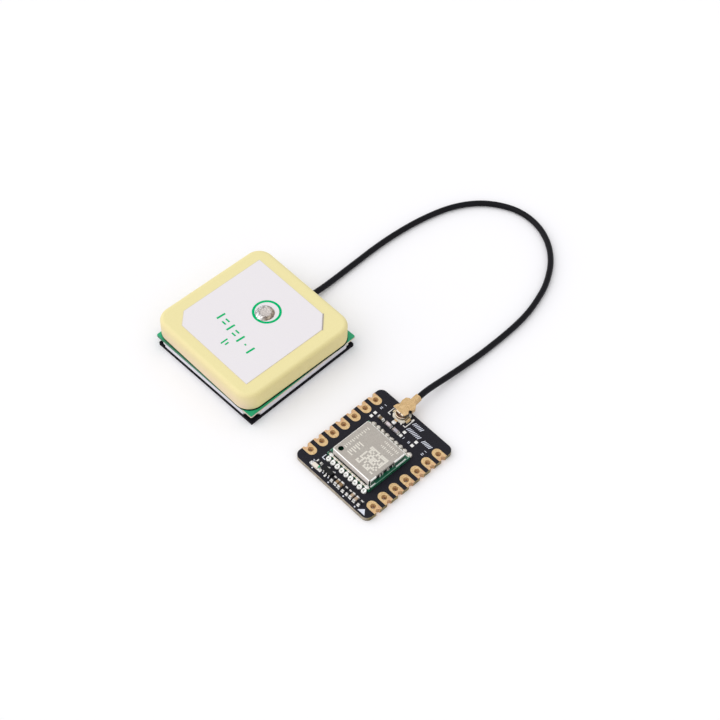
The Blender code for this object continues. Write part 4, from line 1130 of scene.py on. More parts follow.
def addLid():
    top = lid["low"] + lid["height"]
    right = lid["x"] + lid["width"] / 2
    can = moved(foldedCan(lid, 6, True), lid["x"], lid["y"], top)
    x, y, radius = lid["markHole"]
    wide, middle, high = lid["window"]
    window = block((1.0, wide, high - 1.0), right + 0.5 - lid["windowDepth"], middle, 1.0)
    can = cut(can, joined(disc(radius, top - 0.5, top + 0.5, x, y, 32), window))
    addPiece("moduleShield", can, ["lidMetal"], ["module_shield"], crease=24)

    # solder along the wall's foot on both sides of the cut-out
    parts = []
    wide, tall = lid["footSize"]
    low = lid["low"] - 0.015
    for start, end in lid["foot"]:
        size = (wide, end - start, tall)
        parts.append(block(size, right + 0.19, (start + end) / 2, low, corner=0.05, rim=0.03))
    addEtching(top)
    addPiece("shieldFootSolder", joined(*parts), ["bareTin"], crease=60)


def addEtching(low):
    # plain bars, ticks and a field of small squares
    thick = etched["thickness"]
    parts = []
    for x, start, pitch, count, long, short, stroke in etched["scales"]:
        for step in range(count):
            tall = short if step % 2 else long
            spot = x - (long - tall) / 2, start - step * pitch
            parts.append(block((tall, stroke, thick), *spot, low))
    for start, y, count in etched["rows"]:
        for step in range(count):
            size = (etched["stroke"], etched["rowTall"][step % 3], thick)
            parts.append(block(size, start + step * etched["rowPitch"], y, low))
    chance = random.Random(etched["seed"])
    x, y, count, pitch = etched["field"]
    square = (etched["square"], etched["square"], thick)
    for column in range(count):
        for row in range(count):
            if chance.random() < etched["share"]:
                parts.append(block(square, x + column * pitch, y + row * pitch, low))
    addPiece("shieldMarks", joined(*parts), ["lidEtch"])


lidLooks()
addLid()
print("receiver module's shield is folded")


# Chip parts. Each: x, y, length, width, height, turn, body finish, slot
chips = {
    "led_resistor": (-4.65, -8.32, 1.05, 0.5, 0.36, 0, "blackGlaze", "resistor"),
    "pullup_resistor": (-0.62, -8.82, 1.1, 0.5, 0.36, 90, "blackGlaze", "resistor"),
    "input_capacitor": (0.28, -8.85, 1.15, 0.52, 0.52, 90, "brownCeramic", "capacitor"),
    "output_capacitor": (1.12, -8.86, 1.2, 0.6, 0.6, 90, "brownCeramic", "capacitor"),
    "serial_resistor_1": (2.12, -8.86, 1.15, 0.52, 0.36, 90, "blackGlaze", "resistor"),
    "serial_resistor_2": (3.05, -8.82, 1.1, 0.5, 0.36, 90, "blackGlaze", "resistor"),
    "bypass_capacitor_1": (3.88, -8.82, 1.15, 0.54, 0.52, 90, "tanCeramic", "capacitor"),
    "bypass_capacitor_2": (4.8, -8.84, 1.15, 0.54, 0.52, 90, "tanCeramic", "capacitor"),
    "reset_resistor": (5.82, -8.8, 1.1, 0.5, 0.36, 90, "blackGlaze", "resistor"),
    "bias_capacitor": (-4.17, 5.54, 1.24, 0.52, 0.42, 0, "darkCeramic", "capacitor"),
    "matching_capacitor": (-2.34, 5.55, 1.24, 0.58, 0.45, 0, "paleCeramic", "capacitor"),
    "bias_inductor": (-0.55, 5.55, 1.24, 0.62, 0.45, 0, "greyCeramic", "ferrite"),
}
chipShape = {
    "end": 0.27, "waist": 0.03, "rim": 0.05, "over": 0.03,
    "fillet": ((0, 0), (0.16, 0), (0.12, 0.05), (0.05, 0.14)), "climb": 0.7,
}
dullEnds = ("matching_capacitor", "bias_inductor")


def chipLooks():
    bodies = {
        "blackGlaze": ((26, 26, 30), (10, 10, 13), (40, 40, 46)),
        "brownCeramic": ((156, 126, 88), (104, 78, 50), (182, 158, 128)),
        "tanCeramic": ((192, 168, 134), (156, 130, 98), (190, 180, 186)),
        "greyCeramic": ((200, 196, 204), (112, 106, 112), (226, 222, 230)),
        "darkCeramic": ((140, 120, 92), (84, 68, 50), (176, 158, 128)),
        "paleCeramic": ((248, 242, 248), (186, 172, 178), (222, 206, 204)),
    }
    for name, (colour, shade, stain) in bodies.items():
        newLook(
            name, colour=colour, shade=shade, stain=stain, stainAmount=0.4, grain=0.1, patch=0.5,
            rough=(0.28, 0.44), bump=0.3, specular=0.3,
        )
    newLook(
        "dullTin", colour=(176, 160, 148), shade=(112, 98, 90), grain=0.14, spread=0.14, patch=0.4,
        rough=(0.24, 0.4), bump=0.4, metal=0.5, stain=(226, 220, 222), stainAmount=0.6,
    )


def chipSolid(length, width, height, end=chipShape["end"]):
    waist, rim = chipShape["waist"], chipShape["rim"]
    size = (length - 2 * end + 0.04, width - 2 * waist, height - 2 * waist)
    parts = [block(size, low=waist, rim=rim / 2, rimSteps=2)]
    for side in (-1, 1):
        cap = block((end, width, height), side * (length - end) / 2, corner=rim, cornerSteps=3, rim=rim)
        # solder drawn up the end face
        profile = (*chipShape["fillet"], (0, height * chipShape["climb"]))
        profile = [(side * (length / 2 + y - 0.01), z) for y, z in profile]
        half = width / 2 + chipShape["over"]
        fillet = tilted(bar(profile, -half, half), -90, "Z")
        parts += [painted(cap, 1), painted(fillet, 2)]
    return joined(*parts)


def addChips():
    chipLooks()
    for name, (x, y, length, width, height, turn, body, slot) in chips.items():
        solid = moved(chipSolid(length, width, height), x, y, board["seat"] - 0.01, turn)
        words = name.split("_")
        title = words[0] + "".join(word.capitalize() for word in words[1:])
        end = "dullTin" if name in dullEnds else "tin"
        addPiece(title, solid, [body, end, "solder"], [name], crease=45)


addChips()
print("chip parts are placed")


# Indicator light and regulator
indicator = {
    "x": -4.5, "y": -9.32, "length": 1.9, "width": 0.68, "base": 0.3, "top": 0.6, "end": 0.3,
    "padSize": (0.42, 0.612, 0.12), "draft": 0.1, "mark": (0.3, 0.36, 0.3), "markAt": (0.5, 0.18),
    "spots": (
        (-0.86, 0.12, 0.2, 0.24, 0.33), (0.82, 0.1, 0.24, 0.34, 0.36), (-1.06, -0.18, 0.14, 0.2, 0.2),
    ),
}
regulator = {
    "x": -2.12, "y": -8.62, "length": 1.9, "width": 0.86, "top": 0.8, "standoff": 0.06,
    "draft": 0.07, "dot": (0.13, -0.65, -0.3), "pitch": 0.65, "near": (0.2, 0.2), "far": (0.4, 0.38),
    "sheet": 0.1, "middleLand": (0.34, 0.5, 0.06), "land": (0.24, 0.24, 0.06),
}


def addIndicator():
    newLook(
        "indicatorBody", colour=(246, 236, 226), shade=(228, 214, 200), grain=0.2, patch=0.5,
        rough=(0.24, 0.36), bump=0.15, stain=(226, 226, 208),
    )
    newLook(
        "indicatorMark", colour=(86, 204, 152), shade=(60, 176, 124), grain=0.14, patch=0.5,
        rough=(0.22, 0.34), bump=0.1,
    )
    spec = indicator
    lens = spec["length"] - 2 * spec["end"]
    top = block((lens, spec["width"], spec["top"] - 0.1), low=0.1, rim=0.08, rimSteps=4)
    for corner in top.verts:
        lean = corner.co.z / (spec["top"] * mm)
        corner.co.x -= math.copysign(spec["draft"] * mm * lean, corner.co.x)
    parts = [top, block((lens, spec["width"], 0.12))]
    for side in (-1, 1):
        size = (spec["end"] + 0.02, spec["width"], spec["base"])
        spot = side * (spec["length"] - spec["end"]) / 2
        parts.append(painted(block(size, spot, corner=0.05, cornerSteps=3, rim=0.04), 1))
        spot = side * (spec["length"] + spec["padSize"][0] - 0.1) / 2
        parts.append(painted(block(spec["padSize"], spot, corner=0.08, cornerSteps=3, rim=0.06), 1))
    parts.append(painted(block(spec["mark"], *spec["markAt"], spec["top"] - 0.32, rim=0.04), 2))
    # bond pads seen through the lens, and flux between body and ends
    for x, y, wide, tall, high in spec["spots"]:
        parts.append(painted(block((wide, tall, high - 0.05), x, y, 0.05, rim=0.02), 3))
    solid = moved(joined(*parts), spec["x"], spec["y"], board["seat"] - 0.01)
    finishes = ["indicatorBody", "bareTin", "indicatorMark", "dullTin"]
    addPiece("indicatorLight", solid, finishes, ["indicator_led"], crease=40)


def addRegulator():
    newLook(
        "epoxy", colour=(26, 26, 29), shade=(12, 12, 14), grain=0.08, patch=0.8, rough=(0.42, 0.55),
        bump=0.5, stain=(36, 36, 40), stainAmount=0.3, specular=0.16,
    )
    spec = regulator
    low, high, sheet = spec["standoff"], spec["top"], spec["sheet"]
    waist = (low + high) / 2
    half = spec["width"] / 2
    slant = half - spec["draft"]
    profile = [
        (-slant, low), (slant, low), (half, waist), (slant, high), (-slant, high), (-half, waist),
    ]
    body = bar(profile, -spec["length"] / 2, spec["length"] / 2)
    radius, x, y = spec["dot"]
    parts = [cut(body, disc(radius, high - 0.03, high + 0.1, x, y, 16))]
    for side, steps in ((-1, (-1, 0, 1)), (1, (-1, 1))):
        reach, width = spec["near" if side < 0 else "far"]
        knee, tip = half + reach * 0.55, half + reach
        lead = [
            (half - 0.1, waist), (half - 0.1, waist - sheet), (knee - sheet, waist - sheet),
            (knee - sheet, 0), (tip, 0), (tip, sheet), (knee, sheet), (knee, waist - 0.04),
            (knee - 0.05, waist),
        ]
        lead = [(side * out, height) for out, height in lead]
        for step in steps:
            middle = step * spec["pitch"]
            parts.append(painted(bar(lead, middle - width / 2, middle + width / 2), 1))
            # the outer lands are painted in the pale print finish: a painted reflection on their tin
            land = spec["middleLand" if step == 0 else "land"]
            spot = side * (tip - 0.1 + land[1] / 2)
            land = block(land, middle, spot, -0.005, corner=0.06, rim=0.03)
            parts.append(painted(land, 2 if step == 0 else 3))
    solid = moved(joined(*parts), spec["x"], spec["y"], board["seat"])
    finishes = ["epoxy", "tin", "bareTin", "boardPrint"]
    addPiece("voltageRegulator", solid, finishes, ["voltage_regulator"], soft=0.02)


addIndicator()
addRegulator()
print("indicator light and regulator are placed")


# Coaxial socket
socket = {
    "base": 2.7, "baseHeight": 0.35, "round": 0.7, "recess": 0.12,
    "ring": 2.0, "ringWall": 0.16, "ringLow": 0.2, "ringTop": 1.98, "groove": (1.7, 1.76, 1.88, 1.94),
    "span": 3.5, "strap": 0.56, "sheet": 0.12,
    "pin": 0.5, "pinTop": 2.0, "tailReach": 2.05, "tailWidth": 0.62,
    "frame": (
        (0.17, 2.3, 0.12, 2.07, -0.18), (0.62, 0.17, 0.12, 1.83, -1.27),
        (0.4, 0.17, 0.12, 1.95, 0.9), (0.2, 0.5, 0.14, 1.9, 0.62),
    ),
    "drops": (((0.72, 0.7, 0.26), 0.05, -2.0, 0.16, 0.12), ((0.3, 0.3, 0.3), 1.12, -1.34, 0.1, 0.1)),
}


def socketLooks():
    newLook(
        "socketPlastic", colour=(244, 241, 232), shade=(230, 224, 210), grain=0.16, patch=0.9,
        rough=(0.36, 0.5), stain=(236, 226, 204), stainAmount=0.4,
    )
    newLook(
        "socketShell", colour=(226, 206, 164), shade=(190, 160, 112), grain=0.2, patch=0.7,
        rough=(0.18, 0.32), metal=1.0, stain=(240, 236, 224),
    )


def addSocket():
    spec, low, sheet = socket, board["seat"], socket["sheet"]
    x, y = cable["socket"]
    baseTop = low + spec["baseHeight"]
    outer = spec["ring"] / 2
    inner = outer - spec["ringWall"]
    size = (spec["base"], spec["base"], spec["baseHeight"])
    base = block(size, 0, 0, low, corner=spec["round"], cornerSteps=8, rim=0.05)
    base = moved(cut(base, disc(inner, baseTop - spec["recess"], baseTop + 1, steps=32)), x, y)
    addPiece("socketBase", base, ["socketPlastic"], ["socket_base"], soft=0.015)

    # the ring has a groove that the plug snaps into
    foot, top, neck = low + spec["ringLow"], spec["ringTop"], outer - 0.05
    under, grooveLow, grooveHigh, over = spec["groove"]
    ring = turned([
        (inner, foot), (outer, foot), (outer, under), (neck, grooveLow), (neck, grooveHigh),
        (outer, over), (outer, top - 0.06), (neck, top), (inner + 0.04, top), (inner, top - 0.05),
    ], 40)
    # the ring is painted dark brown: painted shade under the plug
    parts = [painted(ring, 1)]
    halfBase, halfSpan = spec["base"] / 2 + 0.02, spec["span"] / 2
    profile = [
        (inner, baseTop + 0.02), (inner, baseTop + sheet), (halfBase + 0.07, baseTop + sheet),
        (halfBase + sheet, baseTop + 0.05), (halfBase + sheet, low + sheet), (halfSpan, low + sheet),
        (halfSpan, low), (halfBase, low), (halfBase, baseTop),
    ]
    for side in (-1, 1):
        strap = bar([(side * out, height) for out, height in profile], -spec["strap"], spec["strap"])
        parts.append(tilted(strap, -90, "Z"))
    shell = moved(joined(*parts), x, y)
    finishes = ["socketShell", "goldPaintedShade"]
    addPiece("socketShell", shell, finishes, ["socket_shell"], soft=0.015)

    pin, tip = spec["pin"] / 2, spec["pinTop"]
    profile = [(0, low), (pin, low), (pin, tip - 0.12), (pin - 0.1, tip), (0, tip)]
    tail = block((spec["tailWidth"], spec["tailReach"], sheet), 0, -spec["tailReach"] / 2, low)
    contact = moved(joined(turned(profile, 20), tail), x, y)
    addPiece("socketPin", contact, ["plugGold"], ["socket_pin"], soft=0.015)

    # solder: a bright frame round each side tab, and the signal tab in front
    parts = []
    low -= 0.02
    for side in (-1, 1):
        for wide, long, tall, out, along in spec["frame"]:
            parts.append(block((wide, long, tall), side * out, along, low, corner=0.05, rim=0.05))
    for size, out, along, corner, rim in spec["drops"]:
        parts.append(block(size, out, along, low, corner=corner, rim=rim))
    addPiece("socketSolder", moved(joined(*parts), x, y), ["bareTin"], crease=60)


# Coaxial plug, pressed onto the socket and crimped round the cable
plug = {
    "turn": 4.5, "top": 2.9, "sheet": 0.17,
    "outline": (
        (-1.7, -0.5), (-0.13, -0.66), (1.1, -0.74), (1.3, 0.1), (1.02, 0.4), (0.9, 0.62), (0.98, 0.84),
        (1.3, 0.94), (1.43, 1.3), (1.36, 1.9), (1.0, 2.36), (0.7, 2.6), (-0.74, 2.7), (-1.26, 2.36),
        (-1.4, 1.5), (-1.2, 0.94), (-1.24, 0.6), (-1.5, 0.3),
    ),
    "waist": 0.8, "waistEnd": 0.9, "barrel": 1.34, "shoulder": 1.9, "barrelEnd": 2.6,
    "barrelDepth": 1.25, "tailEnd": 4.25, "tailRadius": 0.715, "tailBore": 0.6, "tailHeight": 2.16,
    "skirt": 1.06, "skirtWall": 0.14, "skirtDepth": 1.35, "skirtTop": 2.02, "rimEnd": 0.5,
    "lip": ((-1.04, -0.8), (0.86, -0.93), (0.86, -0.6), (-1.04, -0.5)), "lipDepth": 0.26,
    "nick": 0.12, "nicks": ((-0.86, -0.75), (0.22, -0.81)),
    "barrelCurve": ((1.14, 2.16), (0.86, 2.4)), "seam": (0.07, 2.2, 0.4), "seamLow": 1.2,
    "crimpAt": 3.3, "crimpReach": 0.35, "squeeze": 0.045, "strip": (0.9, 1.95, 0.2), "stripAt": 3.25,
    "bands": (0.08, 0.09), "bandOut": 0.03,
}


def plugLook():
    # the plug's edges get a painted highlight
    newLook(
        "plugGold", colour=(222, 193, 148), shade=(182, 149, 102), grain=0.2, spread=0.14, patch=0.9,
        rough=(0.34, 0.5), bump=0.5, metal=0.9, stain=(202, 170, 124), stainAmount=0.6,
        edgeHighlight=(244, 222, 182), edgeHighlightRadius=0.05, edgeHighlightAmount=0.6,
    )
    # painted shade: the skirt's gold is painted dark copper brown, standing for shade and the painted
    # reflection of the dark board, and the socket's ring below it too
    newLook(
        "goldPaintedShade", colour=(132, 84, 56), shade=(74, 42, 30), grain=0.2, patch=0.7,
        rough=(0.24, 0.4), bump=0.3, metal=0.6, stain=(158, 96, 66),
    )
    newLook(
        "creamRim", colour=(250, 240, 222), shade=(236, 216, 190), grain=0.2, patch=0.6,
        rough=(0.24, 0.4), metal=0.3,
    )


def bothSides(half):
    return half + [(-x, y) for x, y in reversed(half)]


def addPlug():
    plugLook()
    spec = plug
    top = spec["top"]
    low = top - spec["sheet"]
    tail, height = spec["tailRadius"], spec["tailHeight"]
    half, waistEnd = spec["barrel"], spec["waistEnd"]
    barrel = [
        (spec["waist"], waistEnd), (half, waistEnd + 0.06), (half, spec["shoulder"]),
        *spec["barrelCurve"], (tail, spec["barrelEnd"]),
    ]
    cap = plate(spec["outline"], low, top)
    bevel(cap, uprightEdges(cap), 0.05, 2)
    bevel(cap, levelEdges(cap, top), 0.04, 3)
    # a bright lip stands out at the front, with two round nicks in it
    lip = plate(spec["lip"], top - spec["lipDepth"], top - 0.06)
    bevel(lip, levelEdges(lip, top - 0.06), 0.05, 3)
    painted(lip, 2)
    # the nicks' walls are painted black: painted shade inside them
    nicks = []
    for x, y in spec["nicks"]:
        nicks.append(painted(disc(spec["nick"], top - 0.5, top + 0.1, x, y, 20), 4))
    cap = cut(cap, joined(*[nick.copy() for nick in nicks]))
    lip = cut(lip, joined(*nicks))

    # the barrel's two wings fold down and round the cable
    wings = plate(bothSides(barrel), top - spec["barrelDepth"], top - 0.08)
    bevel(wings, levelEdges(wings, top - spec["barrelDepth"]), 0.2, 5)
    under = block((2 * (half - spec["sheet"]), 0.9, 3), 0, 1.49, low - 3)
    mouth = block((1.96 * spec["waist"], 1.1, 3), 0, 1.39, low - 3)
    wings = cut(wings, under, mouth, pipe(spec["tailBore"], height, 0.8, 5))
    # the wings' front faces are painted black: painted shade under the plate
    painted(wings, 4, lambda face: face.normal.y < -0.5)
    crimp = pipe(tail, height, spec["shoulder"], spec["tailEnd"], 32, rim=0.04)
    crimp = cut(crimp, pipe(spec["tailBore"], height, 1, 5, 32))
    crimp = cut(crimp, block(spec["seam"], 0, spec["crimpAt"], spec["seamLow"]))
    # crimp marks pressed into the tail, and the flat strip that carries it
    for corner in crimp.verts:
        along = (corner.co.y / mm - spec["crimpAt"]) / spec["crimpReach"]
        corner.co.x *= 1 - spec["squeeze"] * math.exp(-along ** 2)
    strip = block(spec["strip"], 0, spec["stripAt"], top - 0.19, rim=0.06)

    skirtIn, skirtOut = spec["skirt"], spec["skirt"] + spec["skirtWall"]
    foot = top - spec["skirtDepth"]
    profile = [
        (skirtIn, foot + 0.05), (skirtIn + 0.04, foot), (skirtOut - 0.04, foot),
        (skirtOut, foot + 0.05), (skirtOut, low + 0.04), (skirtIn, low + 0.04),
    ]
    # the skirt is painted dark brown: painted shade and reflection on its gold
    skirt = painted(turned(profile, 40), 1)
    # its front is open above the rolled rim
    skirt = cut(skirt, block((4, 1.6, 1), 0, -1.3, spec["skirtTop"]))
    # the skirt's right part is painted black: painted shade beside the barrel
    painted(skirt, 4, lambda face: face.calc_center_median().x > spec["rimEnd"] * mm)
    # a gold band round the skirt's foot, and a cream band along its cut top edge that is a painted
    # highlight
    lowBand, highBand = spec["bands"]
    inside, outside = skirtOut - 0.05, skirtOut + spec["bandOut"]
    for height, wide, finish in ((foot + 0.05, lowBand, 3), (spec["skirtTop"] - 0.03, highBand, 2)):
        band = turned([
            (inside, height - wide / 2), (outside, height - wide / 4),
            (outside, height + wide / 4), (inside, height + wide / 2),
        ], 40)
        if finish == 2:
            band = cut(band, block((2, 4, 1), spec["rimEnd"] + 1, 1.4, height - 0.5))
        skirt = joined(skirt, painted(band, finish))
    shell = moved(joined(cap, lip, wings, crimp, strip, skirt), *cable["socket"], turn=spec["turn"])
    finishes = ["plugGold", "goldPaintedShade", "creamRim", "socketShell", "blackGlaze"]
    return addPiece("plugShell", shell, finishes, ["plug_shell"], crease=40)


def addHiddenFinishes():
    # hidden pieces keep their own shapes and only get the finishes of this scene
    tree, shader, plastic, fine, _ = newLook(
        "plugPlastic", colour=(240, 236, 224), shade=(224, 218, 204), grain=0.16, patch=0.9,
        rough=(0.36, 0.5),
    )
    # the insulator's upright sides are painted brown: painted shade inside the plug
    insideShade = blendColour(tree, fine, srgb(120, 66, 44), srgb(160, 98, 66))
    wire(tree, shader.inputs["Base Color"], blendColour(tree, effect(tree, "sideways"), plastic, insideShade))
    newLook(
        "canLid", colour=(202, 198, 188), shade=(180, 176, 166), grain=0.12, patch=0.8,
        rough=(0.26, 0.38), metal=1.0,
    )
    newLook(
        "braid", colour=(204, 204, 202), shade=(140, 140, 140), grain=0.08, spread=0.12, patch=0.4,
        rough=(0.3, 0.44), bump=0.8, metal=1.0,
    )
    kept = {
        "plugPlastic": ("plug_insulator",),
        "plugGold": ("plug_contact", "cable_conductor"),
        "braid": ("cable_braid",),
        "epoxy": ("receiver_chip", "amplifier_chip"),
        "canLid": ("reference_oscillator", "input_filter", "clock_crystal", "antenna_filter"),
        "tanCeramic": ("amplifier_capacitor",),
        "silverPrint": ("ground_electrode",),
    }
    for finish, names in kept.items():
        for name in names:
            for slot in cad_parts[name].material_slots:
                slot.material = looks[finish]


socketLooks()
plugPiece = addPlug()
addSocket()
print("socket and plug are made")


# Small parts seen through the shield's cut-out
inner = {
    "module_capacitor": ("moduleCapacitor", 4.1, -1.95, 1.05, 0.9, 0.62),
    "module_inductor": ("moduleInductor", 4.12, -3.7, 1.1, 0.94, 0.72),
}
windowParts = (
    (4.4, -0.7, 0.9, 0.5, 0.55, "blackGlaze"),
    (4.45, -2.85, 0.5, 0.4, 0.5, "blackGlaze"),
    (4.3, -1.25, 0.4, 0.36, 0.7, "darkCeramic"),
)


def addInner():
    for name, (title, x, y, length, width, height) in inner.items():
        solid = moved(chipSolid(length, width, height, 0.12), x, y, lid["low"], 90)
        addPiece(title, solid, ["blackGlaze", "bareTin", "solder"], [name], crease=45)
    for number, (x, y, length, width, height, finish) in enumerate(windowParts, 1):
        solid = moved(chipSolid(length, width, height, 0.1), x, y, lid["low"], 90)
        addPiece(f"windowPart{number}", solid, [finish, "bareTin", "solder"], crease=45)


addInner()


# Patch antenna
antenna = {
    "x": -31.62, "y": 0.82, "side": 25.0, "low": 2.62, "height": 4.0, "corner": 2.95, "rim": 0.8,
    "foot": 0.26, "film": (25.12, 25.0, 0.05), "shadowSheetAt": (0.07, -0.02, -0.07),
    "patchX": -31.67, "patchY": 0.67, "patchWidth": 19.4, "patchLength": 19.96,
    "patchLow": 6.62, "patchTop": 6.69, "trimNear": 2.3, "trimFar": 2.55, "outline": 0.09,
    "ringX": -31.41, "ringY": 3.65, "ringRadius": 2.64, "ringLine": 0.46,
}
scale = {
    "thickness": 0.012, "bars": (1.8, 0.0, 1.8, 0.0, 1.8, 0.3, 1.8), "wide": 0.38, "lean": -4,
    "start": (-36.1, -2.9), "run": (9.2, -1.2), "dash": (0.95, 0.3), "apart": 0.42,
    "ticks": ((1.5, -31.5), (0.8, -30.8)), "tickWide": 0.3, "ticksY": -6.1,
}
feed = {
    "x": -31.44, "y": 3.2, "radius": 1.76, "height": 0.5, "shaft": 0.45, "shaftLow": 1.47,
    "dome": (
        (0, 0), (1, 0), (0.985, 0.05), (0.93, 0.14), (0.84, 0.26), (0.75, 0.38), (0.69, 0.45),
        (0.64, 0.48), (0.58, 0.475), (0.5, 0.45), (0.4, 0.46), (0.3, 0.44), (0.2, 0.455),
        (0.1, 0.44), (0, 0.45),
    ),
}
stack = {
    "x": -31.26, "y": 0.87, "turn": 1.65, "boardWidth": 24.6, "boardLength": 25.1, "boardLow": 2.02,
    "boardThickness": 0.52, "notch": (1.9, 6.0, 3.0), "notchX": -0.6, "notchDepth": 4.6,
    "tack": (0.55, 0.2, 0.5), "tackLow": 1.48, "tackAlong": 1.95, "tackIn": 0.06,
}
baseCan = {
    "width": 24.5, "length": 25.0, "height": 1.24, "sheet": 0.15, "bend": 0.24, "slit": 1.9, "top": 2.0,
}
foam = {
    "width": 24.2, "length": 24.7, "thickness": 0.74, "corner": 0.1, "shift": 0.2, "shiftY": -0.14,
}


def antennaLooks():
    tree, shader, face, fine, _ = newLook(
        "ceramic", colour=(240, 229, 171), shade=(233, 221, 159), grain=0.16, patch=5.0,
        rough=(0.5, 0.62), bump=0.12, stain=(236, 224, 166), stainAmount=0.6,
    )
    # painted shade: the near side is painted a little pink towards its foot, and a darker yellow up its
    # rounded rim
    nearSideMottle = effect(tree, "speckle", Size=0.5, Spread=0.2, Seed=5.0)
    pink = blendColour(tree, nearSideMottle, srgb(230, 208, 176), srgb(222, 198, 170))
    facing = normalAxes(tree)
    near = between(tree, facing["Y"], -0.15, -0.85)
    # and the right side is painted a deeper yellow, a painted shade of that side
    right = between(tree, facing["X"], 0.1, 0.8)
    rightSideShade = blendColour(tree, fine, srgb(228, 214, 150), srgb(237, 223, 160))
    face = blendColour(tree, right, face, rightSideShade)
    low = between(tree, objectAxes(tree)["Z"], 3.4 * mm, 5.8 * mm)
    rim = blendColour(tree, fine, srgb(228, 212, 158), srgb(236, 220, 166))
    side = blendColour(tree, low, pink, rim)
    wire(tree, shader.inputs["Base Color"], blendColour(tree, times(tree, near, 0.85), face, side))
    # a painted contact shadow under the ceramic's foot, painted lighter green on its near side
    tree, shader, film, *_ = newLook(
        "paintedContactShadow", colour=(0, 62, 42), shade=(0, 40, 28), grain=0.2, patch=1.5, rough=(0.5, 0.62),
        specular=0.1,
    )
    facing = normalAxes(tree)
    near = between(tree, facing["Y"], -0.6, -0.95)
    wire(tree, shader.inputs["Base Color"], blendColour(tree, near, film, srgb(40, 132, 96)))
    newLook(
        "silverPrint", colour=(237, 233, 236), shade=(229, 225, 228), grain=0.1, patch=4.0,
        rough=(0.46, 0.58), stain=(233, 228, 233),
    )
    newLook(
        "patchRim", colour=(222, 214, 214), shade=(204, 196, 194), grain=0.2, patch=1.5,
        rough=(0.5, 0.6),
    )
    # grey for the painted step shadow along the electrode's far corner
    newLook(
        "patchStepShadow", colour=(176, 168, 164), shade=(150, 142, 134), grain=0.2, patch=1.5,
        rough=(0.5, 0.6),
    )
    newLook(
        "greenInk", colour=(0, 190, 118), shade=(0, 174, 106), grain=0.14, spread=0.18, patch=0.9,
        rough=(0.5, 0.62), specular=0.0,
    )
    tree, shader, tin, *_ = newLook(
        "feedSolder", colour=(222, 215, 212), shade=(196, 188, 184), grain=0.3, patch=1.1,
        rough=(0.2, 0.34), bump=0.4, metal=0.7, stain=(208, 200, 196),
    )
    # rings on the crown, and bright and dark facets down the slope: painted highlights, and scorch with
    # painted shade
    where = objectAxes(tree)
    across = minus(tree, where["X"], (feed["x"] + 0.15) * mm)
    along = minus(tree, where["Y"], (feed["y"] + 0.1) * mm)
    reach = distance(tree, across, along)
    wave = maths(tree, "SINE", times(tree, reach, math.tau * perMetre / 0.42))
    rings = between(tree, wave, -1.0, 1.0, 0.0, 0.4)
    crown = blendColour(tree, rings, tin, srgb(172, 162, 158))
    facets = effect(tree, "speckle", Size=0.34, Spread=0.05, Seed=3.0)
    specks = effect(tree, "speckle", Size=0.22, Spread=0.04, Seed=9.0)
    bright = blendColour(tree, facets, srgb(176, 172, 174), srgb(255, 255, 255))
    scorchAndShade = blendColour(tree, facets, srgb(120, 104, 90), srgb(196, 180, 162))
    # painted highlights on the lower left; the right and the upper left are scorched and carry painted
    # shade
    lean = minus(tree, times(tree, across, 0.9), times(tree, along, -0.5))
    slope = blendColour(tree, between(tree, lean, -0.7 * mm, 0.6 * mm), bright, scorchAndShade)
    outside = between(tree, reach, 0.92 * mm, 1.15 * mm)
    solder = blendColour(tree, outside, crown, slope)
    pits = between(tree, reach, 0.5 * mm, 1.3 * mm, 0.0, 0.75)
    pits = times(tree, maths(tree, "POWER", specks, 3.0), pits)
    wire(tree, shader.inputs["Base Color"], blendColour(tree, pits, solder, srgb(92, 84, 80)))
    tree, shader, mask, *_ = newLook(
        "antennaMask", colour=(12, 168, 116), shade=(0, 150, 102), grain=0.3, patch=2.5,
        rough=(0.3, 0.42), bump=0.15, stain=(30, 180, 128), stainAmount=0.4,
    )
    layers = effect(tree, "streaks", Size_X=0.9, Size_Y=0.9, Size_Z=0.12, Spread=0.14)
    core = blendColour(tree, layers, srgb(196, 176, 150), srgb(236, 222, 204))
    # the near side's laminate is covered by the mask's dark film
    where = objectAxes(tree)
    film = between(tree, where["Z"], 2.36 * mm, 2.4 * mm)
    left = between(tree, where["X"], -20.6 * mm, -21.0 * mm)
    near = between(tree, normalAxes(tree)["Y"], -0.5, -0.8)
    film = maths(tree, "MAXIMUM", film, times(tree, left, near))
    edge = blendColour(tree, film, core, srgb(0, 104, 70))
    # the strip along the near side lies in the ceramic's shade
    strip = between(tree, where["Y"], -11.1 * mm, -11.4 * mm)
    off = offMiddle(tree, where["X"], stack["x"])
    strip = times(tree, strip, between(tree, off, 11.2 * mm, 9.6 * mm))
    mask = blendColour(tree, strip, mask, srgb(0, 108, 70))
    wire(tree, shader.inputs["Base Color"], blendColour(tree, effect(tree, "sideways"), mask, edge))
    newLook(
        "canMetal", colour=(238, 236, 242), shade=(208, 206, 214), grain=0.2, patch=3.0,
        rough=(0.26, 0.4), bump=0.25, metal=0.35, stain=(220, 218, 224),
    )
    # the foam's edges get a painted pale highlight
    newLook(
        "foam", colour=(24, 22, 28), shade=(6, 6, 9), grain=0.22, spread=0.14, patch=1.4,
        rough=(0.8, 0.95), bump=1.0, stain=(34, 32, 40), stainAmount=0.3, specular=0.1,
        edgeHighlight=(84, 82, 90), edgeHighlightRadius=0.1, edgeHighlightAmount=0.5,
    )


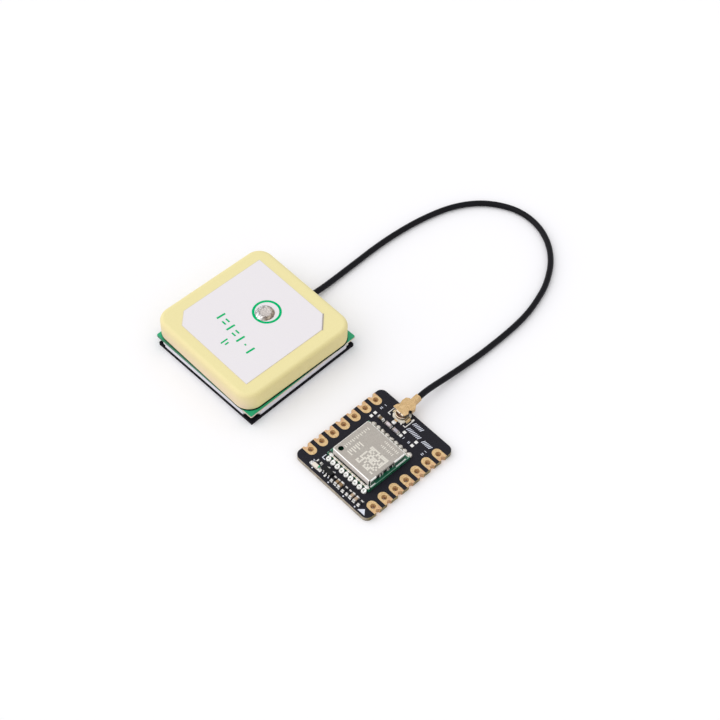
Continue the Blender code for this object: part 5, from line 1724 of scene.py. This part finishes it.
def addCeramic():
    spec = antenna
    size = (spec["side"], spec["side"], spec["height"])
    solid = block(
        size, spec["x"], spec["y"], spec["low"], corner=spec["corner"], cornerSteps=16,
        rim=spec["rim"], rimSteps=9, foot=spec["foot"],
    )
    addPiece("ceramicBlock", solid, ["ceramic"], ["ceramic_block"], crease=50)
    # a thin dark sheet just under the ceramic: a painted contact shadow
    right, up, over = spec["shadowSheetAt"]
    spot = spec["x"] + right, spec["y"] + up, spec["low"] + over
    film = block(spec["film"], *spot, corner=spec["corner"], cornerSteps=16)
    addPiece("ceramicContactShadow", film, ["paintedContactShadow"], crease=50)

    x, y = spec["patchWidth"] / 2, spec["patchLength"] / 2
    low, top = spec["patchLow"], spec["patchTop"]
    near, far = spec["trimNear"], spec["trimFar"]
    outline = [(near - x, -y), (x, -y), (x, y - far), (x - far, y), (-x, y), (-x, near - y)]
    patch = plate(outline, low, top)
    face = [side for side in patch.faces if side.calc_center_median().z > (top - 0.01) * mm]
    bmesh.ops.inset_region(patch, faces=face, thickness=spec["outline"] * mm)
    painted(patch, 1)
    face[0].material_index = 0
    # a grey strip stands along the far trimmed corner: a painted shadow of the electrode's step
    outline = [(x, y - far), (x + 0.2, y - far + 0.08), (x - far + 0.08, y + 0.2), (x - far, y)]
    stepShadow = painted(plate(outline, low, top), 2)
    patch = moved(joined(patch, stepShadow), spec["patchX"], spec["patchY"])
    finishes = ["silverPrint", "patchRim", "patchStepShadow"]
    addPiece("patchElectrode", patch, finishes, ["patch_electrode"], soft=0.02)
    addScale(top)


def addScale(low):
    # a ring round the feed, a plain scale of bars and dashes, and two ticks
    thin, top = scale["thickness"], low + scale["thickness"]
    outside = antenna["ringRadius"]
    inside = outside - antenna["ringLine"]
    profile = [(inside, low), (outside, low), (outside - 0.01, top), (inside + 0.01, top)]
    parts = [turned(profile, 72, antenna["ringX"], antenna["ringY"])]
    for index, tall in enumerate(scale["bars"]):
        place = index / (len(scale["bars"]) - 1)
        x, y = [start + run * place for start, run in zip(scale["start"], scale["run"])]
        if tall:
            mark = tilted(block((scale["wide"], tall, thin)), scale["lean"], "Z")
            parts.append(moved(mark, x, y, low))
        else:
            for step in (-scale["apart"], scale["apart"]):
                parts.append(block((*scale["dash"], thin), x, y + step, low))
    for tall, x in scale["ticks"]:
        parts.append(block((scale["tickWide"], tall, thin), x, scale["ticksY"], low))
    addPiece("patchPrint", joined(*parts), ["greenInk"])


def addFeed():
    low = antenna["patchTop"]
    dome = turned([(feed["radius"] * share, height) for share, height in feed["dome"]], 56)
    # hand solder: an uneven foot, a flattened crown and small facets
    for corner in dome.verts:
        spot = Vector(corner.co) / mm
        coarse = noise.noise(spot * 0.9 + Vector((3.1, 0, 0)))
        ripple = noise.noise(spot * 2.6)
        if spot.z > 0.01:
            height = spot.z * (0.94 + 0.1 * coarse + 0.12 * ripple)
            corner.co.z = min(feed["height"] * 0.97, height) * mm
        corner.co.x *= 1 + 0.05 * coarse
        corner.co.y *= 1 + 0.05 * coarse
    shaft = disc(feed["shaft"], feed["shaftLow"] - low, 0.02, steps=24)
    solid = moved(joined(dome, shaft), feed["x"], feed["y"], low)
    addPiece("feedSolder", solid, ["feedSolder"], ["feed_pin"], crease=70)


def placed(bm):
    return moved(bm, stack["x"], stack["y"], turn=stack["turn"])


def addBase():
    size = (stack["boardWidth"], stack["boardLength"], stack["boardThickness"])
    solid = placed(block(size, low=stack["boardLow"], corner=0.25, cornerSteps=4))
    addPiece("antennaBoard", solid, ["antennaMask"], ["antenna_board"], soft=0.03)

    can = moved(foldedCan(baseCan, 6, False), z=baseCan["top"] - baseCan["height"])
    halfX, halfY = baseCan["width"] / 2, baseCan["length"] / 2
    back = halfY - stack["notchDepth"] + stack["notch"][1] / 2
    can = cut(can, block(stack["notch"], stack["notchX"], back))
    addPiece("antennaShield", placed(can), ["canMetal"], ["antenna_shield"], crease=24)

    # solder tacks between the shield's wall ends and the board
    along, inward = stack["tackAlong"], stack["tackIn"]
    places = ((halfX - along, halfY - inward, 0), (halfX - inward, halfY - along, 90))
    parts = []
    for sideX in (-1, 1):
        for sideY in (-1, 1):
            for x, y, turn in places:
                tack = block(stack["tack"], corner=0.09, rim=0.12, foot=0.1)
                if turn:
                    tack = tilted(tack, turn, "Z")
                parts.append(moved(tack, sideX * x, sideY * y, stack["tackLow"]))
    addPiece("antennaTacks", placed(joined(*parts)), ["solder"], crease=60)

    size = (foam["width"], foam["length"], foam["thickness"])
    pad = block(size, corner=foam["corner"], cornerSteps=4, rim=0.08)
    bmesh.ops.subdivide_edges(pad, edges=pad.edges, cuts=1, use_grid_fill=True)
    pad = placed(moved(pad, foam["shift"], foam["shiftY"]))
    addPiece("foamPad", pad, ["foam"], ["foam_pad"], crease=50)


antennaLooks()
addCeramic()
addFeed()
addBase()
addHiddenFinishes()
print("antenna is stacked")


# Floor, lamps and surroundings
studio = {
    "floorSide": 2.0,
    "floor": (250, 249, 252),
    "seen": (0.982, 0.978, 1.0, 1.0),
    "surroundings": 0.72,
    "key": {"turn": (32, -33, 0), "strength": 1.24, "angle": 84, "colour": (0.992, 0.986, 0.996)},
    "fill": {"turn": (10, 50, 0), "strength": 0.15, "angle": 60, "colour": (0.97, 0.98, 1.0)},
}


def addStudio():
    bm = bmesh.new()
    bmesh.ops.create_grid(bm, x_segments=8, y_segments=8, size=studio["floorSide"] / 2)
    mesh = meshOf("floor", bm)
    floor = linked("floor", mesh)
    tree, shader, paper, *_ = newLook(
        "floor", colour=studio["floor"], shade=(244, 243, 248), grain=30.0, spread=0.3, patch=60.0,
        rough=(0.7, 0.8), bump=0.0, specular=0.1,
    )
    mesh.materials.append(looks["floor"])
    # the camera sees the floor as pure white where nothing shades it
    seen = node(tree, "LightPath").outputs["Is Camera Ray"]
    wire(tree, shader.inputs["Base Color"], blendColour(tree, seen, paper, studio["seen"]))
    for name in ("key", "fill"):
        spec = studio[name]
        lamp = bpy.data.lights.new(name, "SUN")
        lamp.energy = spec["strength"]
        lamp.angle = math.radians(spec["angle"])
        lamp.color = spec["colour"]
        linked(name, lamp).rotation_euler = [math.radians(angle) for angle in spec["turn"]]
    world = bpy.data.worlds.new("surroundings")
    bpy.context.scene.world = world
    world.use_nodes = True
    tree = world.node_tree
    backdrop = tree.nodes["Background"]
    path = node(tree, "LightPath").outputs
    seen = maths(tree, "MAXIMUM", path["Is Camera Ray"], path["Is Transmission Ray"])
    seen = maths(tree, "MAXIMUM", seen, path["Is Glossy Ray"])
    backdrop.inputs["Color"].default_value = (1, 1, 1, 1)
    wire(tree, backdrop.inputs["Strength"], between(tree, seen, 0, 1, studio["surroundings"], 1.0))
    bpy.context.scene.view_settings.view_transform = "Standard"


addStudio()
print("floor and lamps are set")
